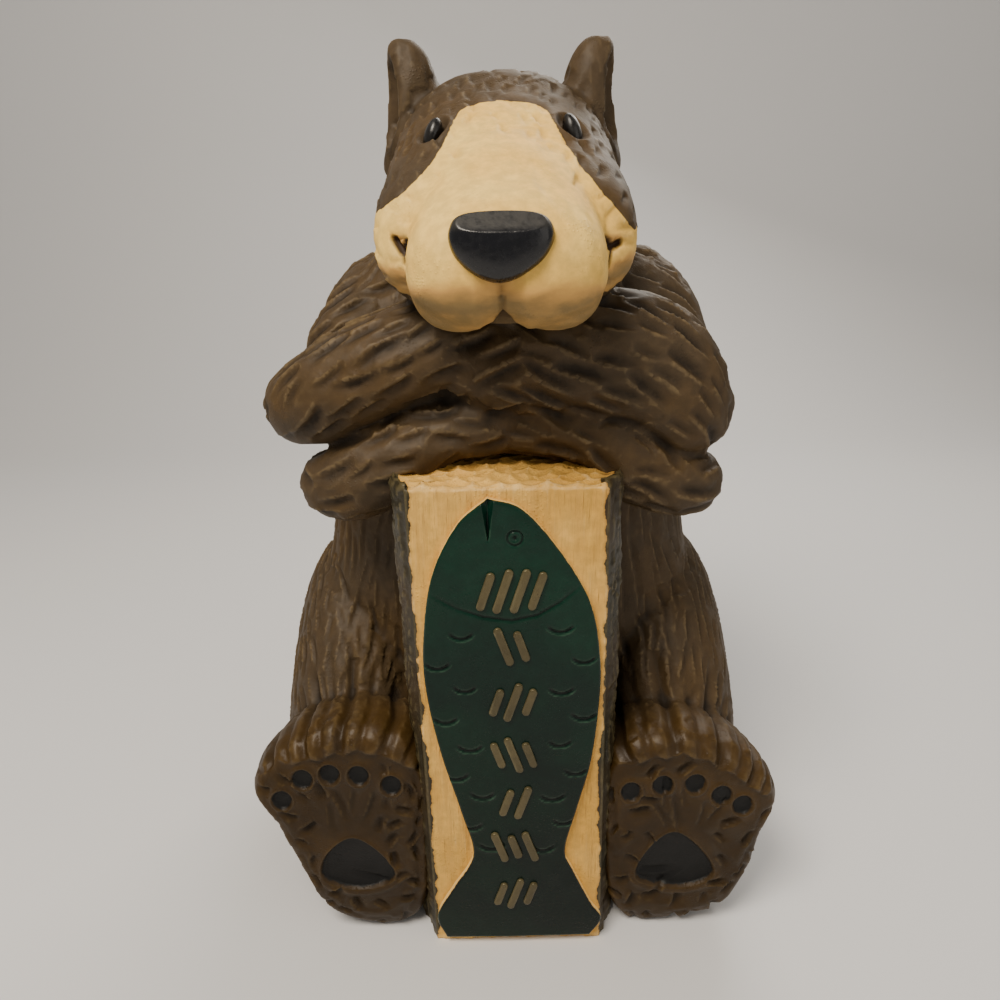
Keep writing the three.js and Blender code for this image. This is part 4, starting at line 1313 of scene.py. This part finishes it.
eye_black = gloss_paint("eye_gloss", paint(8, 8, 9), paint(20, 16, 13), 0.5)
# The nose's top bevel, from 0.3395 m up, gets the painted grey sheen.
nose_black = gloss_paint("nose_gloss", paint(7, 8, 12), paint(13, 14, 21), 0.34, 0.3395)
for name, (points, faces), finish in [("eye_left", bead(-1), eye_black),
                                      ("eye_right", bead(1), eye_black),
                                      ("nose", nose(), nose_black)]:
    piece = object_from(name, points, faces, finish)
    flip_if_inside_out(piece)
    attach(piece, "root")

# Sign post
# A second casting, made after a split log: a flat sawn face painted cream, bark round the
# rest, rough saw marks on its top. It stands in a room left between the bear's legs, under
# the folded arms.
POST_HEIGHT = 245.0
POST_FRONT = -100.0
POST_THICKNESS = 62.0
POST_MIDDLE = POST_FRONT + POST_THICKNESS * 0.38
POST_HALF = 49.0
FACE_HALF = 41.0
POST_LEAN = 2.2
BARK_WAVE = 1.2
POST_ROWS = 210
ARC_COLUMNS = 72
SIDE_COLUMNS = 18
FACE_COLUMNS = 90
CAP_RINGS = 64
BARK_SEED = 5
CHIP_SEED = 19
CHIP_ROWS = 8
CHIP_STEP = (10.4, 7.0)
CHIP_DEPTH = 2.4
EDGE_WEAR = 3.2


def lattice_noise(places, cell, seed):
    """Noise from -1 to 1: random numbers on a lattice, joined by 3t^2 - 2t^3 in each cell."""
    places = np.asarray(places, float) / cell
    table = np.random.default_rng(seed).random((32, 32, 32))
    whole = np.floor(places).astype(int)
    step = places - whole
    step = step * step * (3 - 2 * step)
    total = np.zeros(places.shape[:-1])
    for i in (0, 1):
        for j in (0, 1):
            for k in (0, 1):
                place = (whole + [i, j, k]) % 32
                corner = table[place[..., 0], place[..., 1], place[..., 2]]
                share = (np.where(i, step[..., 0], 1 - step[..., 0])
                         * np.where(j, step[..., 1], 1 - step[..., 1])
                         * np.where(k, step[..., 2], 1 - step[..., 2]))
                total += corner * share
    return 2 * total - 1


def post_lean(z):
    """The post's sideways lean: it drifts to -X with height."""
    return POST_LEAN * (0.5 - z / POST_HEIGHT)


def post_rings():
    """Points round the log at each height, and how far each column is round from the face.

    Behind, a half ellipse; at each side the width goes from POST_HALF to FACE_HALF with the
    square of the way forward; in front, the flat face. Columns run from the right side back.
    """
    z = np.linspace(0, POST_HEIGHT, POST_ROWS)[:, None]
    arc = np.linspace(0, np.pi, ARC_COLUMNS, endpoint=False)[None]
    wave = BARK_WAVE * (np.sin(arc * 7 + z * 0.05) + np.sin(arc * 4 - z * 0.11)) * 0.5
    behind = POST_FRONT + POST_THICKNESS - POST_MIDDLE
    before = POST_MIDDLE - POST_FRONT
    back = np.stack([(POST_HALF + wave) * np.cos(arc), POST_MIDDLE + (behind + wave) * np.sin(arc),
                     z + 0 * arc], -1)
    share = np.linspace(0, 1, SIDE_COLUMNS, endpoint=False)[None]
    swell = BARK_WAVE * 0.6 * np.sin(z * 0.13 + share * 4) * (1 - share)
    width = POST_HALF + (FACE_HALF - POST_HALF) * share**2 + swell
    left = np.stack([-width, POST_MIDDLE - before * share + 0 * z, z + 0 * share], -1)
    right = (left * [-1, 1, 1])[:, ::-1]
    across = np.linspace(-FACE_HALF, FACE_HALF, FACE_COLUMNS)[None]
    face = np.stack([across + 0 * z, POST_FRONT + 0 * across + 0 * z, z + 0 * across], -1)
    rings = np.concatenate([back, left, face, right], 1)
    rings[..., 0] += post_lean(rings[..., 2])
    column = np.concatenate([np.ones(ARC_COLUMNS), 1 - share[0] * 0.999, np.zeros(FACE_COLUMNS),
                             (1 - share[0] * 0.999)[::-1]])
    return rings, column


def bark_distance(rings, column):
    """How far inside the cream face each point lies: the bark's edge wanders over it."""
    x, z = rings[..., 0] - post_lean(rings[..., 2]), rings[..., 2]
    side = np.sign(x)
    edge = np.stack([side * 9, 0 * z, z], -1)
    ragged = (1.6 * lattice_noise(edge, 14.0, BARK_SEED) + 0.9 * lattice_noise(edge, 4.0, 8)
              + 0.5 * lattice_noise(edge, 1.7, 9))
    inside = FACE_HALF - 0.9 - np.abs(x) + ragged
    return np.where(column > 0, -3 * column - 0.6 + 0.35 * ragged, inside)


def post_relief(rings, column):
    """Bark in long plates with cracks between, and the face's shallow split grain."""
    tall = rings * [1, 1, 0.3]
    plates = 1 - np.abs(lattice_noise(tall, 4.2, 11)) * 2.4
    bark = 0.75 * plates.clip(-1, 1) + 0.6 * lattice_noise(rings, 2.1, 12)
    bark = bark * 1.15 * rounded_step(column, 0.02, 0.2)
    grain = 0.42 * lattice_noise(rings * [1, 1, 0.06], 3.2, 13)
    grain += 0.34 * lattice_noise(rings * [1, 1, 0.12], 1.5, 14)
    shave = 0.35 * lattice_noise(rings * [1, 1, 0.45], 17.0, 15)
    return np.where(column > 0, bark - 0.2, grain + shave)


def chip_depth(x, y):
    """Depth of the broken saw chips on top: overlapping dents, 1 - r^2 deep, in rows."""
    rng = np.random.default_rng(CHIP_SEED)
    depth = np.zeros(np.broadcast(x, y).shape)
    for row in range(CHIP_ROWS):
        for number in range(-6, 7):
            drift_x, drift_y, size = rng.uniform(-1, 1, 3)
            middle_x = (number + 0.5 * (row % 2)) * CHIP_STEP[0] + 2.2 * drift_x
            middle_y = POST_FRONT + 3 + CHIP_STEP[1] * row + 1.4 * drift_y
            reach = ((x - middle_x) / (6.6 + 1.4 * size))**2 + ((y - middle_y) / 5.4)**2
            depth = np.maximum(depth, (1 - reach) * (CHIP_DEPTH + 0.8 * size))
    return depth


def post_mesh():
    """The log's skin with its bottom and its sawn top, and the bark distance of each point."""
    rings, column = post_rings()
    column = np.broadcast_to(column, rings.shape[:2])
    inside = bark_distance(rings, column)
    out = rings - np.array([0, POST_MIDDLE, 0])
    out[..., 2] = 0
    out = np.where(column[..., None] > 0, unit(out), [0, -1.0, 0])
    height = rings[..., 2]
    rings = rings + out * post_relief(rings, column)[..., None]
    worn = rounded_step(height, POST_HEIGHT - EDGE_WEAR, POST_HEIGHT)
    chips = 0.9 + 0.8 * lattice_noise(rings * [1, 1, 0.2], 3.4, 16)
    rings -= out * (worn * worn * 1.9 * chips)[..., None]
    rings[..., 2] -= 0.8 * worn * chip_depth(rings[..., 0], rings[..., 1]) * (column == 0)
    centre = np.array([0, POST_MIDDLE, 0.0])
    shrink = np.linspace(1, 0.04, CAP_RINGS)[1:, None, None]
    top = centre + (rings[-1][None] - centre) * shrink
    top[..., 2] = POST_HEIGHT
    rough = 0.3 * lattice_noise(top, 6.0, 17) + 0.22 * lattice_noise(top, 1.8, 18)
    top[..., 2] += (rough - 0.2 - chip_depth(top[..., 0], top[..., 1])).clip(-3.4, 0.2)
    whole = np.concatenate([rings, top])
    lowest = (0, POST_MIDDLE, 0)
    points, faces = closed_grid(whole, lowest, (0, POST_MIDDLE, POST_HEIGHT - 1))
    cap = np.full(top.shape[:2], 3.0)
    from_edge = np.linalg.norm((rings[-1][None] - top)[..., :2], axis=-1)
    cap = np.minimum(cap, from_edge - np.where(column[-1] > 0, 2.2, 0))
    values = np.concatenate([inside.ravel(), cap.ravel(), [0, 3]])
    return points, faces, values


def post_paint():
    """Cream on the sawn wood with brown in the grain and painted shade in its chips and dents; dark
    olive bark with painted shade in its cracks and worn high spots.
    """
    made, tree, shader = node_material("post_paint")
    place = object_place(tree)
    ridge, fold_shade = value_of(tree, "ridge"), value_of(tree, "fold_shade")
    fine = clouds(tree, stretched(tree, place, (1.0, 1.0, 0.06)), 900.0, 3.0, 0.6)
    broad = clouds(tree, stretched(tree, place, (1.0, 1.0, 0.1)), 170.0, 3.0, 0.6)
    scratch = reckoned(tree, "MULTIPLY", remapped(tree, fine, 0.53, 0.7), 1.1)
    # The fold value darkens the chips and dents of the wood and the cracks of the bark as painted
    # shade.
    wood = placed(tree, brushed_paint, {
        "Place": place, "Base": paint(220, 175, 90), "Warm": paint(206, 158, 72),
        "Dark": paint(112, 76, 34), "Light": paint(242, 214, 156), "Groove": scratch,
        "Fold Shade": reckoned(tree, "MULTIPLY", fold_shade, 3.0), "Ridge": ridge, "Light Share": 0.45,
        "Dark Share": 0.8})
    streaked = mixed(tree, remapped(tree, broad, 0.35, 0.7, 0.0, 0.4), wood["Color"],
                     paint(184, 138, 70))
    bark = placed(tree, brushed_paint, {
        "Place": place, "Base": paint(42, 38, 23), "Warm": paint(54, 42, 23),
        "Dark": paint(15, 13, 8), "Light": paint(112, 100, 66), "Groove": 0.0,
        "Fold Shade": reckoned(tree, "MULTIPLY", fold_shade, 2.5), "Ridge": ridge, "Light Share": 0.5,
        "Dark Share": 0.9})
    wobble = reckoned(tree, "SUBTRACT", clouds(tree, place, 700.0, 2.0), 0.5)
    edge = reckoned(tree, "ADD", value_of(tree, "inside"), reckoned(tree, "MULTIPLY", wobble, 1.2))
    colour = mixed(tree, remapped(tree, edge, -0.12, 0.12), bark["Color"], streaked)
    rim = reckoned(tree, "MULTIPLY", remapped(tree, edge, 1.3, 0.1), remapped(tree, edge, -0.2, 0.1))
    colour = mixed(tree, reckoned(tree, "MULTIPLY", rim, 0.35), colour, paint(122, 84, 42))
    height = reckoned(tree, "MULTIPLY", fine, remapped(tree, edge, -0.3, 0.3, 0.2, 1.0))
    grain = add(tree, "Bump", {"Height": height, "Strength": 0.8, "Distance": 0.0006,
                               "Normal": cast_normal(tree, place, 0.5, 0.7)})
    feed(tree, shader, {"Base Color": colour, "Roughness": remapped(tree, edge, -0.3, 0.3, 0.5, 0.62),
                        "Specular IOR Level": 0.3, "Normal": grain.outputs["Normal"]})
    return made


def keep_relief(made):
    """Stores each point's ridge and fold heights on the mesh for its paint; the fold height darkens
    creases as painted shade.
    """
    points, edges, normals = mesh_points(made.data), mesh_edges(made.data), point_normals(made.data)
    set_values(made.data, "ridge", ((points - relaxed(points, edges, 0.5, 4)) * normals).sum(1) * 1.6)
    set_values(made.data, "fold_shade", ((relaxed(points, edges, 0.9, 16) - points) * normals).sum(1))


post_points, post_faces, post_inside = post_mesh()
post = object_from("split_log_post", post_points, post_faces, post_paint())
flip_if_inside_out(post)
set_values(post.data, "inside", post_inside)
keep_relief(post)
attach(post, "root")
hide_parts("sign_post")

# Fish and strokes of the sign
# Cast with the post and raised from its face: a fish that stands on its tail, with a slit
# mouth, a ring eye, a gill line and a few crescent scales, painted dark green with cream
# sides. Groups of short round-ended strokes in bronze paint stand on it in a column.
FISH_SIDES = [
    [-0.143, 0.016], [-0.159, 0.075], [-0.122, 0.151], [-0.082, 0.233], [-0.102, 0.339],
    [-0.135, 0.478], [-0.155, 0.612], [-0.155, 0.714], [-0.135, 0.837], [-0.09, 0.93],
    [-0.037, 0.978], [0.02, 0.957], [0.082, 0.882], [0.135, 0.784], [0.155, 0.673],
    [0.155, 0.571], [0.143, 0.449], [0.12, 0.345], [0.098, 0.241], [0.116, 0.184],
    [0.151, 0.102], [0.173, 0.06], [0.151, 0.016],
]
FISH_TOP = 10
FISH_RAISE = 3.2
FISH_DOME = 0.5
FISH_ROUND = 1.1
FISH_ROWS = 330
FISH_COLUMNS = 130
FISH_EYE = (1.7, 222.5)
FISH_EYE_RING = 3.1
MOUTH_TOP = (-9.2, 239.0)
MOUTH_LENGTH = 17.5
MOUTH_HALF = 2.6
MOUTH_DEPTH = 2.3
GILL_DEPTH = 0.75
GILL = [(-34, 198), (-23, 191), (-12, 187), (0, 185), (11, 187.5), (20, 193), (29, 201)]
SCALE_ROWS = 9
SCALE_TOP = 182.0
SCALE_STEP = 14.6
SCALE_HALF = 5.4
SCALE_SEED = 3
STROKE_RAISE = 1.5
STROKE_WIDTH = 3.6
GROUP_HEIGHT = 20
LEAN = 1.25
GROUPS = [
    (0.812, LEAN, [(-0.54, 0.9), (-0.18, 1.05), (0.18, 1.05), (0.54, 0.9)]),
    (0.705, -LEAN, [(-0.18, 0.95), (0.2, 0.75)]),
    (0.59, LEAN, [(-0.36, 0.7), (0, 1), (0.36, 0.7)]),
    (0.475, -LEAN, [(-0.36, 0.7), (0, 1), (0.36, 0.7)]),
    (0.365, LEAN, [(-0.18, 0.75), (0.2, 0.95)]),
    (0.258, -LEAN, [(-0.36, 0.9), (0, 0.7), (0.36, 0.9)]),
    (0.138, LEAN, [(-0.36, 0.7), (0, 0.95), (0.36, 0.7)]),
]


def fish_outline():
    """The smooth outline as left and right x at each height."""
    sides = np.array(FISH_SIDES) * POST_HEIGHT
    left = catmull(sides[:FISH_TOP + 1], np.linspace(0, 1, 300))
    right = catmull(sides[FISH_TOP:][::-1], np.linspace(0, 1, 300))
    return left, right


def crescent_depth(x, z, middle_x, middle_z, half):
    """A scale's cut, a thin lower half ring deepest at its lowest point, and the lip below."""
    turn_x, turn_z = (x - middle_x) / half, (z - middle_z) / (half * 0.8)
    reach = np.hypot(turn_x, turn_z)
    low = rounded_step(-turn_z, 0.1, 0.75)
    return low * bump(reach, 1, 0.15), low * bump(reach, 1.25, 0.12)


def fish_marks(x, z):
    """Depth cut into the fish for mouth, eye, gill line and scales, and the scales' lips."""
    down = (MOUTH_TOP[1] - z) / MOUTH_LENGTH
    half = MOUTH_HALF * (1 - down).clip(0, 1) + 0.15
    mouth = MOUTH_DEPTH * (1 - np.abs(x - MOUTH_TOP[0]) / half).clip(0)**0.6 * (down < 1)
    away = np.hypot(x - FISH_EYE[0], z - FISH_EYE[1])
    eye = 0.8 * bump(away, FISH_EYE_RING, 0.5) + 1.1 * bump(away, 0, 1.2)
    flat = np.stack([x.ravel(), 0 * x.ravel(), z.ravel()], 1)
    gill, share = path_distance(flat, [(gx, 0, gz) for gx, gz in GILL])
    gill = (GILL_DEPTH * bump(gill, 0, 0.75) * np.sin(np.pi * share).clip(0)**0.4).reshape(x.shape)
    depth = np.maximum.reduce([mouth, eye, gill])
    lips = np.zeros(x.shape)
    rng = np.random.default_rng(SCALE_SEED)
    left, right = fish_outline()
    for row in range(SCALE_ROWS):
        height = SCALE_TOP - SCALE_STEP * row
        for side, edge in ((-1, left), (1, right)):
            reach = abs(np.interp(height, edge[:, 1], edge[:, 0]))
            drift, size = rng.uniform(-1, 1, 2)
            middle = side * reach * (0.56 if row % 2 == 0 else 0.82) + drift
            cut, lip = crescent_depth(x, z, middle, height + 2 * drift, SCALE_HALF + 0.6 * size)
            depth = np.maximum(depth, cut)
            lips = np.maximum(lips, lip)
    return depth, lips


def fish_mesh():
    """The fish as rows of points from its left edge to its right one.

    Its height over the face is FISH_RAISE with a round edge, 1 - (1 - d)^2 within FISH_ROUND
    of the outline, and a slight dome to the middle, less the marks cut into it.
    """
    left, right = fish_outline()
    low, high = left[0, 1], left[-1, 1] - 0.05
    bend = np.linspace(0, 1, FISH_ROWS)
    z = (low + (high - low) * np.sin(bend * np.pi / 2)**1.15)[:, None]
    from_left = np.interp(z, left[:, 1], left[:, 0])
    from_right = np.interp(z, right[:, 1], right[:, 0])
    across = np.linspace(-1, 1, FISH_COLUMNS)[None]
    across = np.sign(across) * (1 - (1 - np.abs(across))**1.35)
    x = (from_left + from_right) / 2 + (from_right - from_left) / 2 * across
    z = z + 0 * x
    inner = np.minimum(np.minimum(x - from_left, from_right - x), (high - z) * 1.2)
    inner = np.minimum(inner, z - low)
    edge = inner.clip(0, FISH_ROUND) / FISH_ROUND
    half = (from_right - from_left) / 2
    dome = FISH_DOME * (1 - ((x - (from_left + from_right) / 2) / half)**2)
    lift = FISH_RAISE * (0.72 + 0.28 * (1 - (1 - edge)**2)) + dome * edge
    depth, lips = fish_marks(x, z)
    lift -= (np.minimum(depth, FISH_RAISE - 0.4) - 0.4 * lips) * (inner > 0.2)
    lift += 0.12 * lattice_noise(np.stack([x, 0 * x, z], -1), 9.0, 21) * edge
    front = np.stack([x, POST_FRONT - lift, z], -1)
    sunk = front.copy()
    sunk[..., 1] = POST_FRONT + 1.5
    return front, sunk, inner


def sheet_faces(rows, columns):
    """Quads of a grid of rows by columns."""
    row, column = np.meshgrid(np.arange(rows - 1), np.arange(columns - 1), indexing="ij")
    first = row * columns + column
    return np.stack([first, first + 1, first + columns + 1, first + columns], -1).reshape(-1, 4)


def rim_numbers(rows, columns):
    """The numbers of a grid's rim points, once round."""
    grid = np.arange(rows * columns).reshape(rows, columns)
    return np.concatenate([grid[0, :-1], grid[:-1, -1], grid[-1, :0:-1], grid[:0:-1, 0]])


def fish_object(finish):
    """The fish's closed skin: front sheet, side wall and back, with its cream-edge value."""
    front, sunk, inner = fish_mesh()
    rows, columns = front.shape[:2]
    count = rows * columns
    faces = sheet_faces(rows, columns)
    rim = rim_numbers(rows, columns)
    ahead = np.roll(rim, -1)
    back = count + np.arange(len(rim))
    wall = np.stack([rim, back, np.roll(back, -1), ahead], 1)
    middle = count + len(rim)
    centre = sunk.reshape(-1, 3).mean(0)
    points = np.vstack([front.reshape(-1, 3), sunk.reshape(-1, 3)[rim], centre])
    fan = np.stack([np.roll(back, -1), back, np.full(len(rim), middle)], 1)
    made = object_from("fish_relief", points, faces.tolist() + wall.tolist() + fan.tolist(), finish)
    flip_if_inside_out(made)
    values = np.concatenate([inner.ravel(), np.full(len(rim) + 1, -1.0)])
    set_values(made.data, "inside", values)
    keep_relief(made)
    return made


def fish_paint():
    """Dark green, deeper towards the tail, with painted shade in the cuts, scuffed pale on sharp
    edges.
    """
    made, tree, shader = node_material("fish_paint")
    place = object_place(tree)
    down = add(tree, "SeparateXYZ", {"Vector": place}).outputs["Z"]
    high = remapped(tree, down, 0.05, 0.22)
    base = mixed(tree, high, paint(4, 25, 17), paint(7, 43, 31))
    # The fold value darkens the cuts as painted shade.
    green = placed(tree, brushed_paint, {
        "Place": place, "Base": base, "Warm": mixed(tree, high, paint(4, 18, 14), paint(6, 34, 26)),
        "Dark": paint(2, 8, 6), "Light": paint(66, 96, 76), "Groove": 0.0,
        "Fold Shade": reckoned(tree, "MULTIPLY", value_of(tree, "fold_shade"), 5.0),
        "Ridge": value_of(tree, "ridge"), "Light Share": 0.45, "Dark Share": 0.9})
    wobble = reckoned(tree, "SUBTRACT", clouds(tree, place, 500.0, 2.0), 0.5)
    edge = reckoned(tree, "ADD", value_of(tree, "inside"), reckoned(tree, "MULTIPLY", wobble, 0.5))
    colour = mixed(tree, remapped(tree, edge, -0.06, 0.14), paint(222, 184, 112), green["Color"])
    shine = remapped(tree, clouds(tree, place, 130.0), 0.3, 0.7, 0.24, 0.36)
    feed(tree, shader, {"Base Color": colour, "Roughness": shine, "Specular IOR Level": 0.22,
                        "Normal": cast_normal(tree, place, 0.3, 0.35)})
    return made


def stroke_mesh(x, z, length, tilt, face):
    """A raised stroke: rings of a round-ended outline, half the length plus r at each end.

    Towards the middle r shrinks and the height goes from the wall over a round edge to a dome.
    """
    radius = STROKE_WIDTH / 2
    reach = np.array([1, 1, 0.99, 0.93, 0.82, 0.6, 0.32, 0.08])[:, None] * radius
    rise = np.array([-0.8, 0.9, 1.12, 1.32, 1.45, 1.55, 1.6, 1.62])[:, None] * STROKE_RAISE / 1.5
    turn = np.linspace(0, 2 * np.pi, 40, endpoint=False)[None]
    half = max(0.1, (length - STROKE_WIDTH) / 2)
    along = half * np.sign(np.cos(turn) + 1e-9) + reach * np.cos(turn)
    across = reach * np.sin(turn)
    rings = np.stack([x + along * np.cos(tilt) - across * np.sin(tilt),
                      face - rise + 0 * turn,
                      z + along * np.sin(tilt) + across * np.cos(tilt)], -1)
    rings += 0.13 * lattice_noise(rings, 2.6, 23)[..., None]
    return closed_grid(rings, (x, face + 1, z), (x, face - rise[-1, 0], z))


def bronze_paint():
    """Olive bronze paint, clouded, rubbed bright on the edges."""
    made, tree, shader = node_material("bronze_paint")
    place = object_place(tree)
    bronze = placed(tree, brushed_paint, {
        "Place": place, "Base": paint(88, 79, 52), "Warm": paint(72, 64, 41),
        "Dark": paint(26, 24, 17), "Light": paint(150, 140, 104), "Groove": 0.0, "Fold Shade": 0.0,
        "Ridge": reckoned(tree, "MULTIPLY", value_of(tree, "ridge"), 0.6), "Light Share": 0.35,
        "Dark Share": 0.6})
    feed(tree, shader, {"Base Color": bronze["Color"], "Roughness": 0.38, "Metallic": 0.35,
                        "Normal": cast_normal(tree, place, 0.4, 0.6)})
    return made


def sign_strokes(finish):
    """All groups of strokes as one piece, each stroke a closed skin on the fish."""
    parts = []
    for share, lean, strokes in GROUPS:
        for x, length in strokes:
            parts.append(stroke_mesh(x * GROUP_HEIGHT, share * POST_HEIGHT, length * GROUP_HEIGHT,
                                     lean, POST_FRONT - FISH_RAISE - FISH_DOME * 0.7))
    made = object_from("sign_strokes", *joined(parts), finish)
    flip_if_inside_out(made)
    keep_relief(made)
    return made


for piece in (fish_object(fish_paint()), sign_strokes(bronze_paint())):
    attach(piece, "root")
